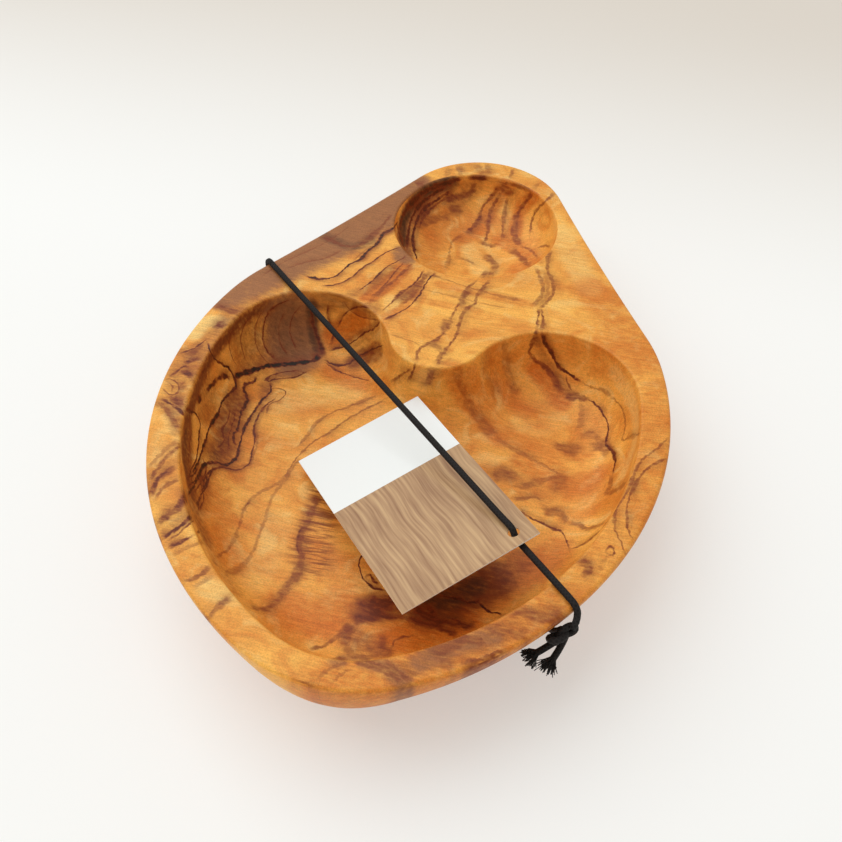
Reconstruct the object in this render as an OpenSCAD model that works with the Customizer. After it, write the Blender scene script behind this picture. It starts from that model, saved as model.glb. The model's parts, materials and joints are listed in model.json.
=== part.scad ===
// Olive dish carved from one block of wood. A heart-shaped hollow holds the olives, with a tongue of
// rim between its two lobes, and a round well at the narrow end takes the stones. A round elastic is
// tied once round the dish, and a card punched at one corner hangs on it and lies in the hollow.

/* [Dish outline] */
// Length over the rim
dish_l = 221; // [206:1:240]
// Greatest width over the rim
dish_w = 153; // [146:1:162]
// Radius of the narrow end, round the well
head_r = 30; // [27:0.5:33]
// Radius of the faintly hollowed sides beside the well
waist_r = 1200; // [600:50:2000]
// Radius of the shoulders below the well
shoulder_r = 57; // [50:1:64]
// Angle above the width line at which a side turns into its shoulder
shoulder_turn = 19; // [15:0.5:23]
// Radius of the long bulging sides
flank_r = 103; // [97:1:110]
// Radius of the rounded toe
toe_r = 45; // [40:1:50]
// How far the hand-cut toe lies to one side of the middle
toe_x = 0.8; // [0:0.1:2]

/* [Dish wall] */
// Height from the flat base to the rim
dish_h = 33; // [30:0.5:37]
// How far the base's edge is set in from the rim
base_inset = 24; // [20:0.5:28]
// How far the wall runs out flat into the base
base_run = 10; // [6:0.5:14]
// How far the wall falls straight below the rim along the sides
side_drop = 4; // [2:0.5:8]
// How far the wall falls straight below the rim at the toe
toe_drop = 17; // [12:0.5:20]
// Rounding of the rim's outer edge
rim_edge_r = 1.2; // [0.8:0.1:2]

/* [Hollow] */
// Width of the rim beside the hollow where the dish is widest
side_rim = 9.5; // [7.5:0.5:12]
// Depth of the hollow's floor below the rim
hollow_depth = 21.6; // [20.6:0.2:25]
// Width of the rim at the toe
toe_rim = 8.6; // [7:0.2:11]
// Radius of the hollow's toe
hollow_toe_r = 33.6; // [30:0.2:37]
// Radius of the hollow's long sides
hollow_flank_r = 94.5; // [90:0.5:99]
// Angle above the width line at which a long side turns into its lobe
lobe_turn = 11.4; // [9:0.2:14]
// How far the tongue reaches down between the lobes
tongue_reach = 25.2; // [22:0.2:26]
// Radius of the tongue's tip
tongue_r = 15.8; // [14:0.2:18]
// How far the hand-cut hollow lies to one side of the middle
hollow_x = 0.5; // [0:0.1:1.5]
// How far the wall leans in on its steep upper part
wall_lean = 0.8; // [0.4:0.1:2]
// Depth to which the wall stays steep
wall_steep = 13; // [10:0.5:16]
// How far from the rim the wall's curve turns to the floor
floor_turn = 4; // [2:0.5:7]
// How far from the rim the floor lies flat
floor_inset = 18; // [15:0.5:20]
// Softening of the edges round the hollow and the well
inner_edge_r = 0.8; // [0.4:0.1:1.4]

/* [Well] */
// Radius of the well at the rim
well_r = 28.4; // [26:0.2:29]
// Width of the rim at the narrow end
well_rim = 9; // [7:0.2:12]
// Depth of the well at its middle
well_depth = 16; // [13:0.5:20]
// Depth to which the well's wall stays steep
well_steep = 11; // [8:0.5:13]
// How far in from the well's edge its wall turns to the floor
well_turn = 5; // [3:0.5:8]

/* [Elastic] */
// Thickness of the round elastic
elastic_d = 1.9; // [1.6:0.1:2.2]
// Air between the elastic and the wood that it lies along
elastic_gap = 0.15; // [0.12:0.01:0.25]
// Direction of the loop as seen from above, from the dish's width line
loop_turn = -41.6; // [-45:0.2:-38]
// Outer radius of the knot
knot_r = 2.8; // [2.6:0.1:3.2]
// Length of the knot along the elastic
knot_l = 6.4; // [6:0.1:7.4]

/* [Card] */
// Length of the card
card_l = 73; // [70:0.5:75]
// Width of the card
card_w = 42.4; // [40:0.2:45]
// Thickness of the card
card_t = 0.4; // [0.3:0.05:0.6]
// Radius of the punched hole
hole_r = 2.4; // [2.3:0.05:2.8]
// Middle of the hole from the card's short edge
hole_from_end = 4.8; // [4.2:0.1:6]
// Middle of the hole from the card's long edge
hole_from_side = 5.4; // [4.8:0.1:6.5]
// Direction in which the card lies from its hole, seen from above
card_turn = 131.7; // [130.5:0.1:133]
// Slope of the card down from its hole
card_slope = 12.2; // [11:0.1:13]
// Slope of the card across its width
card_roll = -10; // [-11:0.1:-9]

/* [Hidden] */

wood = "#C68A45";
black_elastic = "#1D1B1A";
printed_card = "#D8B58C";

// Distance between the points of the two outlines, and the steps down their walls
outline_step = 5;
wall_steps = 12;
hollow_steps = 11;
edge_angles = [30, 60];
// How sharply the steep wall of the toe gives way to the sides
toe_focus = 6;
// Overrun of every cut past the face that it opens
overrun = 1;
round_fn = 96;

// The dish stands on the elastic that crosses under its base
base_z = elastic_d;
rim_z = base_z + dish_h;

// Sides of the elastic, the distance of its middle from the wood, its straight ends, and the steps of
// its bend round the rim's edge
cord_sides = 8;
cord_lift = elastic_d / 2 + elastic_gap;
lead = 1.5;
bend_angles = [90, 60, 30, 0];
// How far the run under the base goes straight on past the base's edge
base_pass = 0.8;
// Where the elastic leaves the card's two faces: distance from the hole and height over the card
hold_near = [2.4, 1.8];
hold_far = [5, 2.2];

// The knot: share of the wall's curve where it sits, its place to the side and off the wall, the step
// of the wall where the elastic lies on the wood again, and its core and turns
knot_share = 0.19;
knot_side = -2.6;
knot_gap = 0.35;
rejoin_step = 7;
core_r = 2.3;
turn_r = 1.05;
turns = 3;
turn_pitch = 1.7;
turn_lean = 12;
// Where the strand leaves the knot's lower end, and the routes of the two tails from there, with the
// third number along the knot
strand_at = [-1.2, 0, 0];
tail_left_route = [
    [0.7, -1.1, 0], [0.7, -1.1, -1.4], [0.7, -2.6, -2.8], [0.7, -5.6, -4.2], [0.6, -8.8, -5.4]];
tail_right_route = [
    [0.7, 1.1, 0], [0.7, 1.1, -1.4], [1.6, 1, -2.6], [3.2, -1.4, -3.8], [4.9, -5, -4.2]];

// Where the card's low corner leans against the tongue, from the tongue's tip at the rim
corner_at = [-1.9, -2.6, -11.4];

// Points of a cubic curve
function bezier(p, t) = pow(1 - t, 3) * p[0] + 3 * pow(1 - t, 2) * t * p[1]
    + 3 * (1 - t) * pow(t, 2) * p[2] + pow(t, 3) * p[3];
function unit(v) = v / norm(v);
function heading(v) = atan2(v[1], v[0]);
function about_x(v, a) = [v[0], v[1] * cos(a) - v[2] * sin(a), v[1] * sin(a) + v[2] * cos(a)];
function about_y(v, a) = [v[0] * cos(a) + v[2] * sin(a), v[1], v[2] * cos(a) - v[0] * sin(a)];
function about_z(v, a) = [v[0] * cos(a) - v[1] * sin(a), v[0] * sin(a) + v[1] * cos(a), v[2]];

// Where two circles meet, on the side asked for
function meet(a, ra, b, rb, side) = let (d = norm(b - a), u = (b - a) / d)
    let (x = (d * d + ra * ra - rb * rb) / (2 * d))
    a + x * u + side * sqrt(ra * ra - x * x) * [-u[1], u[0]];

// A chain of tangent arcs, each [centre, radius, side], with side 1 for a bulge and -1 for a bay,
// becomes a closed row of [point, outward direction]
function touch(a, b) = let (u = unit(b[0] - a[0]))
    a[2] != b[2] || a[1] > b[1] ? a[0] + a[1] * u : b[0] - b[1] * u;
function turn_between(a, b, side) = let (d = (b - a) * side) side * (d - 360 * floor(d / 360));
function arc_chain(arcs) = let (n = len(arcs)) [
    for (i = [0:n - 1])
        let (arc = arcs[i], start = heading(touch(arcs[(i + n - 1) % n], arc) - arc[0]))
        let (turn = turn_between(start, heading(touch(arc, arcs[(i + 1) % n]) - arc[0]), arc[2]))
        let (count = ceil(abs(turn) / 180 * PI * arc[1] / outline_step))
        for (k = [0:count - 1])
            let (a = start + turn * k / count, u = [cos(a), sin(a)])
            [arc[0] + arc[1] * u, arc[2] * u]];
function from_lowest(row) = let (ys = [for (f = row) f[0][1]], k = search(min(ys), ys)[0])
    [for (i = [0:len(row) - 1]) row[(i + k) % len(row)]];
// A point set in from the outline, at a height
function set_in(f, inset, z) = [f[0][0] - inset * f[1][0], f[0][1] - inset * f[1][1], z];
function ring(row, inset, z) = [for (f = row) set_in(f, inset, z)];

// Outline of the dish, anticlockwise from the toe
dish_toe = [toe_x, toe_r - dish_l / 2];
dish_head = [0, dish_l / 2 - head_r];
function dish_flank(side) = let (x = side * (dish_w / 2 - flank_r))
    [x, dish_toe[1] + sqrt(pow(flank_r - toe_r, 2) - pow(x - toe_x, 2))];
function dish_shoulder(side) =
    dish_flank(side) + (flank_r - shoulder_r) * [side * cos(shoulder_turn), sin(shoulder_turn)];
function dish_waist(side) =
    meet(dish_shoulder(side), shoulder_r + waist_r, dish_head, head_r + waist_r, -side);
dish_row = from_lowest(arc_chain([
    [dish_toe, toe_r, 1], [dish_flank(1), flank_r, 1], [dish_shoulder(1), shoulder_r, 1],
    [dish_waist(1), waist_r, -1], [dish_head, head_r, 1], [dish_waist(-1), waist_r, -1],
    [dish_shoulder(-1), shoulder_r, 1], [dish_flank(-1), flank_r, 1]]));

// Outline of the hollow. The lobes' radius is the one at which each lobe touches its long side and the
// tongue, the smaller root of a quadratic
hollow_toe = [hollow_x, toe_rim + hollow_toe_r - dish_l / 2];
flank_x = dish_w / 2 - side_rim - hollow_flank_r;
lobe_cos = cos(lobe_turn);
lobe_span = flank_x + hollow_flank_r * lobe_cos;
lobe_half_b = lobe_span * lobe_cos + tongue_reach;
lobe_c = pow(lobe_span, 2) + pow(tongue_reach, 2) - 2 * tongue_reach * tongue_r;
lobe_r = (lobe_half_b - sqrt(pow(lobe_half_b, 2) - pow(lobe_cos, 2) * lobe_c)) / pow(lobe_cos, 2);
function hollow_flank(side) =
    hollow_toe + [side * flank_x, sqrt(pow(hollow_flank_r - hollow_toe_r, 2) - pow(flank_x, 2))];
function lobe(side) =
    hollow_flank(side) + (hollow_flank_r - lobe_r) * [side * cos(lobe_turn), sin(lobe_turn)];
tongue_tip = [hollow_x, lobe(1)[1] + lobe_r - tongue_reach];
hollow_row = from_lowest(arc_chain([
    [hollow_toe, hollow_toe_r, 1], [hollow_flank(1), hollow_flank_r, 1], [lobe(1), lobe_r, 1],
    [tongue_tip + [0, tongue_r], tongue_r, -1],
    [lobe(-1), lobe_r, 1], [hollow_flank(-1), hollow_flank_r, 1]]));

// Sections of the walls as [distance in from the outline, depth below the rim]
function wall_curve(out) =
    let (drop = side_drop + (toe_drop - side_drop) * pow(max(0, -out[1]), toe_focus))
    [[0, rim_edge_r], [0, rim_edge_r + drop], [base_inset - base_run, dish_h], [base_inset, dish_h]];
function wall_ring(t) =
    [for (f = dish_row) let (q = bezier(wall_curve(f[1]), t)) set_in(f, q[0], rim_z - q[1])];
hollow_curve = [
    [0, inner_edge_r], [wall_lean, wall_steep], [floor_turn, hollow_depth], [floor_inset, hollow_depth]];
well_curve = [
    [0, inner_edge_r], [wall_lean, well_steep], [well_turn, well_depth], [well_r, well_depth]];

// A closed skin over rings of points that run anticlockwise, from the lowest ring up
module skin(rings) {
    n = len(rings[0]);
    top = len(rings) - 1;
    polyhedron(
        points = [for (r = rings) each r],
        faces = concat(
            [for (j = [0:top - 1], i = [0:n - 1])
                let (low = j * n, high = low + n, next = (i + 1) % n)
                each [[low + i, high + i, high + next], [low + i, high + next, low + next]]],
            [[for (i = [0:n - 1]) i]],
            [[for (i = [0:n - 1]) top * n + (n - i) % n]]));
}

// A round cord along a route, with one of its flats turned across the given direction
function cord_ring(route, i, across, r) =
    let (t = unit(route[min(i + 1, len(route) - 1)] - route[max(i - 1, 0)]))
    let (n = unit(cross(across, t)), b = cross(t, n))
    [for (k = [0:cord_sides - 1]) let (a = 360 / cord_sides * (k + 1 / 2))
        route[i] + r / cos(180 / cord_sides) * (cos(a) * n + sin(a) * b)];
module cord(route, across) {
    skin([for (i = [0:len(route) - 1]) cord_ring(route, i, across, elastic_d / 2)]);
}

// The card's directions and the middle of its hole
function card_way(v) = about_z(about_y(about_x(v, card_roll), card_slope), card_turn);
hole_at = [tongue_tip[0], tongue_tip[1], rim_z] + corner_at
    - card_way([card_l - hole_from_end, -hole_from_side, 0]);
card_up = card_way([0, 0, 1]);

// The loop's upright plane goes through the hole: places in it are [along, across, height]
loop_way = [cos(loop_turn), sin(loop_turn), 0];
loop_side = [-sin(loop_turn), cos(loop_turn), 0];
function in_loop(p) = [hole_at[0], hole_at[1], 0] + p[0] * loop_way + p[1] * loop_side + [0, 0, p[2]];
function along(p) = (p - hole_at) * loop_way;
function aside(p) = (p - hole_at) * loop_side;
// Where the loop's plane crosses a ring, as [along, height], and the outermost of these on the near
// side (1) or the far side (-1)
function crossings(points) = [
    for (i = [0:len(points) - 1])
        let (a = points[i], b = points[(i + 1) % len(points)], f = aside(a) / (aside(a) - aside(b)))
        if ((aside(a) < 0) != (aside(b) < 0)) [along(a) + f * (along(b) - along(a)), a[2]]];
function crossing(points, side) = let (found = crossings(points), ways = [for (c = found) side * c[0]])
    found[search(max(ways), ways)[0]];

// The elastic's middle along the outer wall, one elastic's half thickness off the wood
function section(side) = [for (k = [0:wall_steps]) crossing(wall_ring(k / wall_steps), side)];
function off_wall(row, i, side) = let (t = unit(row[min(i + 1, len(row) - 1)] - row[i - 1]))
    row[i] + side * cord_lift * [-t[1], t[0]];
function bend_at(side, a) = [section(side)[0][0], rim_z - rim_edge_r]
    + [-side * rim_edge_r, 0] + (rim_edge_r + cord_lift) * [side * cos(a), sin(a)];
function flat(p) = [p[0], 0, p[1]];
function under_end(side) = [section(side)[wall_steps][0] - side * lead, elastic_d / 2];
function wall_run(side, first) = concat(
    [for (k = [first:wall_steps - 1]) flat(off_wall(section(side), k, side))],
    [flat(under_end(side) + [side * (lead + base_pass), 0]), flat(under_end(side))]);

// The knot's middle and lean in the loop's plane
knot_wall = [for (d = [-1, 0, 1]) crossing(wall_ring(knot_share + d / wall_steps), 1)];
knot_axis = unit(knot_wall[0] - knot_wall[2]);
knot_lean = heading([knot_axis[1], knot_axis[0]]);
knot_mid = knot_wall[1] + (knot_r + knot_gap) * [knot_axis[1], -knot_axis[0]];
function at_knot(p) = let (q = about_y(p, knot_lean))
    [knot_mid[0] + q[0], knot_side + q[1], knot_mid[1] + q[2]];
function below_knot(p) = at_knot(p - [0, 0, knot_l / 2]);

// The elastic's route over the dish and through the hole, above the card on the far side of the hole
card_rise = -(card_up * loop_way) / card_up[2];
function over_card(x, h) = [x, 0, hole_at[2] + card_rise * x + h];
top_end = bend_at(-1, 90) + [lead, 0];
near_edge = crossing(ring(hollow_row, 0, rim_z), 1)[0];
over_route = [
    flat(top_end), flat(top_end + [lead, 0]),
    over_card(-hold_far[0], hold_far[1]), over_card(-hold_near[0], hold_near[1]), over_card(0, 0),
    over_card(hold_near[0], -hold_near[1]), over_card(hold_far[0], -hold_far[1]),
    flat([near_edge - lead, rim_z + cord_lift]), for (a = bend_angles) flat(bend_at(1, a)),
    at_knot([0, 0, knot_l / 2 + lead]), at_knot([0, 0, knot_l / 2])];
far_route = concat([flat(top_end), for (a = bend_angles) flat(bend_at(-1, a))], wall_run(-1, 1));
near_route = concat(
    [for (d = [0, lead]) below_knot(strand_at - [0, 0, d])], wall_run(1, rejoin_step));
function placed(route) = [for (p = route) in_loop(p)];
function tail(route) = placed([for (p = route) below_knot(p)]);

module hollow_cut() {
    lips = [for (a = edge_angles)
        ring(hollow_row, -inner_edge_r * (1 - cos(a)), rim_z - inner_edge_r * (1 - sin(a)))];
    walls = [for (k = [hollow_steps:-1:0]) let (q = bezier(hollow_curve, k / hollow_steps))
        ring(hollow_row, q[0], rim_z - q[1])];
    skin(concat(walls, lips, [ring(hollow_row, -inner_edge_r, rim_z + overrun)]));
}

module well_cut() {
    wall = [for (k = [hollow_steps:-1:0]) let (q = bezier(well_curve, k / hollow_steps))
        [well_r - q[0], rim_z - q[1]]];
    lip = [for (a = edge_angles)
        [well_r + inner_edge_r * (1 - cos(a)), rim_z - inner_edge_r * (1 - sin(a))]];
    translate([0, dish_l / 2 - well_rim - well_r, 0]) rotate_extrude($fn = round_fn)
        polygon(concat(wall, lip, [[well_r + inner_edge_r, rim_z + overrun], [0, rim_z + overrun]]));
}

module dish_body() {
    walls = [for (k = [wall_steps:-1:0]) wall_ring(k / wall_steps)];
    edges = [for (a = concat(edge_angles, 90))
        ring(dish_row, rim_edge_r * (1 - cos(a)), rim_z - rim_edge_r * (1 - sin(a)))];
    color(wood) difference() {
        skin(concat(walls, edges));
        hollow_cut();
        well_cut();
    }
}

module elastic_over() {
    color(black_elastic) cord(placed(over_route), loop_side);
}

module elastic_far_drop() {
    color(black_elastic) cord(placed(far_route), loop_side);
}

// The straight run that the dish stands on, with one flat down and one flat up against the base
module elastic_under() {
    far_end = under_end(-1)[0];
    run = under_end(1)[0] - far_end;
    color(black_elastic) translate(in_loop([far_end, 0, elastic_d / 2])) rotate([0, 90, loop_turn])
        rotate([0, 0, 180 / cord_sides])
            cylinder(r = elastic_d / 2 / cos(180 / cord_sides), h = run, $fn = cord_sides);
}

module elastic_near_drop() {
    color(black_elastic) cord(placed(near_route), loop_side);
}

// A short core with the turns of the knot round it
module elastic_knot() {
    color(black_elastic) translate(in_loop(at_knot([0, 0, 0]))) rotate([0, knot_lean, loop_turn]) {
        cylinder(r = core_r, h = knot_l, center = true, $fn = round_fn);
        for (k = [0:turns - 1])
            translate([0, 0, turn_pitch * (k - (turns - 1) / 2)]) rotate([turn_lean, 0, 0])
                rotate_extrude($fn = round_fn) translate([knot_r - turn_r, 0])
                    circle(r = turn_r, $fn = round_fn);
    }
}

module elastic_tail_left() {
    color(black_elastic) cord(tail(tail_left_route), loop_way);
}

module elastic_tail_right() {
    color(black_elastic) cord(tail(tail_right_route), loop_way);
}

module swing_card() {
    color(printed_card) translate(hole_at) rotate([card_roll, card_slope, card_turn]) difference() {
        translate([-hole_from_end, -hole_from_side, -card_t / 2]) cube([card_l, card_w, card_t]);
        cylinder(r = hole_r, h = card_t + 2 * overrun, center = true, $fn = round_fn);
    }
}

dish_body();
elastic_over();
elastic_far_drop();
elastic_under();
elastic_near_drop();
elastic_knot();
elastic_tail_left();
elastic_tail_right();
swing_card();
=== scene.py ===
"""Looks of a carved olive dish with its elastic and its hang card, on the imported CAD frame."""

from __future__ import annotations

import json
import logging
import math
from dataclasses import dataclass, field
from enum import Enum
from typing import Any, Callable, Sequence

import bmesh
import bpy
import numpy as np
from bmesh.types import BMEdge, BMesh, BMFace, BMVert
from mathutils import Euler, Matrix, Quaternion, Vector
from mathutils.bvhtree import BVHTree

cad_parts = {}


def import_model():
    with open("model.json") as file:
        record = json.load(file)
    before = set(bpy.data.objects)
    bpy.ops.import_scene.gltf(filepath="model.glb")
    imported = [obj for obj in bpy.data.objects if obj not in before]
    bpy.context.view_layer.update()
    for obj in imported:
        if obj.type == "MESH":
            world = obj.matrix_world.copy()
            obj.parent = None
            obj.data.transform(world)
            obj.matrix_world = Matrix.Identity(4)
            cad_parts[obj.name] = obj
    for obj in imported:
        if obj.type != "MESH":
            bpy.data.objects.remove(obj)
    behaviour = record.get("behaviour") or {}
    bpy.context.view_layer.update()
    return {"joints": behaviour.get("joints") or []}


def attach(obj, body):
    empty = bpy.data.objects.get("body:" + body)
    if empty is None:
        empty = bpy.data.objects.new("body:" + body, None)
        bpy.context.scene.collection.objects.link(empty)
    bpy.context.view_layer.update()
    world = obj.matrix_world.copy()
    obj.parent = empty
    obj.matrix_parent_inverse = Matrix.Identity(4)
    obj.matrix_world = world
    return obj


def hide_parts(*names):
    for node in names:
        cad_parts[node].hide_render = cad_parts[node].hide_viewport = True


LOG = logging.getLogger("olive_dish")

# One millimetre in the frame's metres
MM = 0.001
# Side of the square photograph in pixels
PHOTO_SIDE = 842
# Half the side of a unit square, and the middle of a noise that runs from 0 to 1
HALF = 0.5
UP = Vector((0, 0, 1))

Material = bpy.types.Material
Node = bpy.types.Node
Tree = bpy.types.NodeTree
Socket = bpy.types.NodeSocket
Triple = tuple[float, float, float]
Pair = tuple[float, float]
Pixel = Pair
Route = Sequence[Triple]
# Points on the wood, and the wood's directions there
Laid = tuple[np.ndarray, np.ndarray]


class Detail(Enum):
    """How finely a noise breaks up."""

    SOFT = 1.0
    USUAL = 2.0
    FINE = 3.0
    RAGGED = 4.0


@dataclass(frozen=True)
class Span:
    """Two values of a noise, a height or a distance, and the shares that a shader gives at them."""

    low: float
    high: float
    first: float = 0.0
    last: float = 1.0


def linear(code: str) -> tuple[float, float, float, float]:
    """Turns an sRGB hex colour into the linear colour that a shader takes.

    Args:
        code: Six hex digits after a hash sign.

    Returns:
        Red, green, blue and an opaque alpha.
    """
    parts = [int(code[i:i + 2], 16) / 255 for i in (1, 3, 5)]
    bent = [c / 12.92 if c <= 0.04045 else ((c + 0.055) / 1.055) ** 2.4 for c in parts]
    return (*bent, 1.0)


def add_node(tree: Tree, kind: str, inputs: dict[Any, Any] | None = None, **settings: Any) -> Node:
    """Adds a shader node with its settings, values and links.

    Args:
        tree: The material's node tree.
        kind: The node's type, without the leading ShaderNode.
        inputs: Socket name or number, and the value or the output socket that goes there.
        **settings: Properties of the node.

    Returns:
        The new node.
    """
    node = tree.nodes.new("ShaderNode" + kind)
    for name, value in settings.items():
        setattr(node, name, value)
    for socket, value in (inputs or {}).items():
        if isinstance(value, Socket):
            tree.links.new(value, node.inputs[socket])
        else:
            node.inputs[socket].default_value = value
    return node


def compute(tree: Tree, operation: str, *terms: Socket | float, clamp: bool = False) -> Socket:
    """Adds a sum, a product or another operation on numbers, and gives its result."""
    return add_node(tree, "Math", dict(enumerate(terms)), operation=operation, use_clamp=clamp).outputs[0]


def move(tree: Tree, operation: str, *terms: Socket | Sequence[float]) -> Socket:
    """Adds an operation on places, and gives the place that comes of it."""
    return add_node(tree, "VectorMath", dict(enumerate(terms)), operation=operation).outputs[0]


def split(tree: Tree, place: Socket) -> list[Socket]:
    """Adds the three parts of a place."""
    return list(add_node(tree, "SeparateXYZ", {0: place}).outputs)


def ramp(tree: Tree, value: Socket, span: Span, shape: str = "LINEAR") -> Socket:
    """Adds a share that runs across a span, straight or with another shape."""
    inputs = {"Value": value, "From Min": span.low, "From Max": span.high, "To Min": span.first,
              "To Max": span.last}
    return add_node(tree, "MapRange", inputs, interpolation_type=shape).outputs[0]


def blend(tree: Tree, share: Socket | float, under: str | Socket, over: str | Socket,
          kind: str = "MIX") -> Socket:
    """Adds a mix of two colours, each an sRGB hex code or a socket."""
    a, b = (linear(colour) if isinstance(colour, str) else colour for colour in (under, over))
    return add_node(tree, "Mix", {"Factor": share, "A": a, "B": b}, data_type="RGBA",
                    blend_type=kind).outputs["Result"]


def noise(tree: Tree, at: Socket, size: float, detail: Detail, swirl: float = 0.0) -> Node:
    """Adds a noise whose clouds have a size, in the unit of the place."""
    inputs = {"Vector": at, "Scale": 1 / size, "Detail": detail.value, "Distortion": swirl}
    return add_node(tree, "TexNoise", inputs)


def emboss(tree: Tree, shader: Node, height: Socket, strength: float, depth: float) -> None:
    """Gives a shader a bump, with its depth in millimetres."""
    bump = add_node(tree, "Bump", {"Height": height, "Strength": strength, "Distance": depth * MM})
    tree.links.new(bump.outputs["Normal"], shader.inputs["Normal"])


def new_material(name: str, roughness: float, specular: float) -> tuple[Material, Tree, Node]:
    """Makes a node material without its colour.

    Args:
        name: The material's name.
        roughness: The roughness.
        specular: The level of the gloss.

    Returns:
        The material, its tree and its Principled shader, already linked to the output.
    """
    material = bpy.data.materials.new(name)
    material.use_nodes = True
    tree = material.node_tree
    tree.nodes.clear()
    shader = add_node(tree, "BsdfPrincipled", {"Roughness": roughness, "Specular IOR Level": specular})
    add_node(tree, "OutputMaterial", {"Surface": shader.outputs["BSDF"]})
    return material, tree, shader


def bezier(points: Sequence[Pair], t: float) -> Pair:
    """Gives the point of a plane cubic curve at a share of its run."""
    weights = ((1 - t) ** 3, 3 * (1 - t) ** 2 * t, 3 * (1 - t) * t ** 2, t ** 3)
    return tuple(sum(w * p[i] for w, p in zip(weights, points)) for i in (0, 1))


def smooth_path(points: Sequence[Vector], pitch: float) -> list[Vector]:
    """Runs a smooth curve through points.

    Args:
        points: The points that the curve goes through, in two or three dimensions.
        pitch: Greatest distance between the points that come back.

    Returns:
        Points along the curve, with the given ones among them.
    """
    made = [points[0]]
    for i in range(len(points) - 1):
        a, b = points[i], points[i + 1]
        before = points[i - 1] if i else 2 * a - b
        after = points[i + 2] if i + 2 < len(points) else 2 * b - a
        count = max(1, math.ceil((b - a).length / pitch))
        # Centripetal knots keep the curve from looping where the points lie unevenly
        t1 = math.sqrt((a - before).length)
        t2 = t1 + math.sqrt((b - a).length)
        t3 = t2 + math.sqrt((after - b).length)
        for k in range(1, count + 1):
            t = t1 + (t2 - t1) * k / count
            p = before + (a - before) * (t / t1)
            q = a + (b - a) * ((t - t1) / (t2 - t1))
            r = b + (after - b) * ((t - t2) / (t3 - t2))
            left = p + (q - p) * (t / t2)
            right = q + (r - q) * ((t - t1) / (t3 - t1))
            made.append(left + (right - left) * ((t - t1) / (t2 - t1)))
    return made


def make_piece(name: str, bm: BMesh, material: Material) -> bpy.types.Object:
    """Turns a bmesh in millimetres into an object of the scene in metres.

    Args:
        name: The piece's name.
        bm: The mesh, which is freed.
        material: The finish.

    Returns:
        The object, at the origin and unturned.
    """
    bmesh.ops.scale(bm, vec=(MM, MM, MM), verts=bm.verts)
    mesh = bpy.data.meshes.new(name)
    bm.to_mesh(mesh)
    bm.free()
    mesh.shade_smooth()
    mesh.materials.append(material)
    piece = bpy.data.objects.new(name, mesh)
    bpy.context.scene.collection.objects.link(piece)
    return piece


def settle(piece: bpy.types.Object, body: str, nodes: Sequence[str]) -> None:
    """Lets a piece ride on its body in place of CAD nodes, and reports it.

    Args:
        piece: The piece.
        body: The CAD body that it rides on.
        nodes: The CAD nodes that it stands for.
    """
    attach(piece, body)
    if nodes:
        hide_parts(*nodes)
    LOG.info("%s: %d faces on %s for %s", piece.name, len(piece.data.polygons), body, ", ".join(nodes))


@dataclass(frozen=True)
class PhotoCamera:
    """The photograph's camera, fitted to the dish, in millimetres of the dish's frame."""

    place: Triple = (58.3, -228.2, 277.2)
    azimuth: float = 14.53
    elevation: float = 48.5
    focal_px: float = 1100.0
    sensor: float = 36.0
    nearest: float = 10.0
    farthest: float = 10000.0

    def turn(self) -> Quaternion:
        """Works out how the camera is turned.

        Returns:
            The turn of a camera that looks down its own -Z.
        """
        a, e = math.radians(self.azimuth), math.radians(self.elevation)
        back = Vector((math.sin(a) * math.cos(e), -math.cos(a) * math.cos(e), math.sin(e)))
        return (-back).to_track_quat("-Z", "Y")

    def ray(self, pixel: Sequence[float]) -> Vector:
        """Works out the direction in which the camera sees a pixel.

        Args:
            pixel: The pixel, from the photograph's upper left corner.

        Returns:
            The direction.
        """
        half = PHOTO_SIDE / 2
        way = Vector(((pixel[0] - half) / self.focal_px, (half - pixel[1]) / self.focal_px, -1))
        return (self.turn() @ way).normalized()

    def build(self) -> None:
        """Adds the camera to the scene."""
        data = bpy.data.cameras.new("photo_camera")
        data.sensor_width = self.sensor
        data.lens = self.focal_px * self.sensor / PHOTO_SIDE
        data.clip_start = self.nearest * MM
        data.clip_end = self.farthest * MM
        camera = bpy.data.objects.new("photo_camera", data)
        camera.location = Vector(self.place) * MM
        camera.rotation_mode = "QUATERNION"
        camera.rotation_quaternion = self.turn()
        bpy.context.scene.collection.objects.link(camera)
        bpy.context.scene.camera = camera


class Tint(Enum):
    """Soft colours of the figure and of painted shade and highlight, each a number of the wood's two tint
    attributes.
    """

    ORANGE = 0
    BROWN = 1
    HEART = 2
    SMOKE = 3
    PALE = 4
    RIBBED = 5


ORANGE, BROWN, HEART, SMOKE, PALE, RIBBED = Tint


@dataclass(frozen=True)
class Vein:
    """A thin dark line of the figure: width in millimetres, share of darkness, and photo pixels."""

    width: float
    dark: float
    points: tuple[Pixel, ...]


@dataclass(frozen=True)
class Band:
    """A soft streak or patch: colour, reach in millimetres, strength, and photo pixels."""

    tint: Tint
    width: float
    strength: float
    points: tuple[Pixel, ...]


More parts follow.
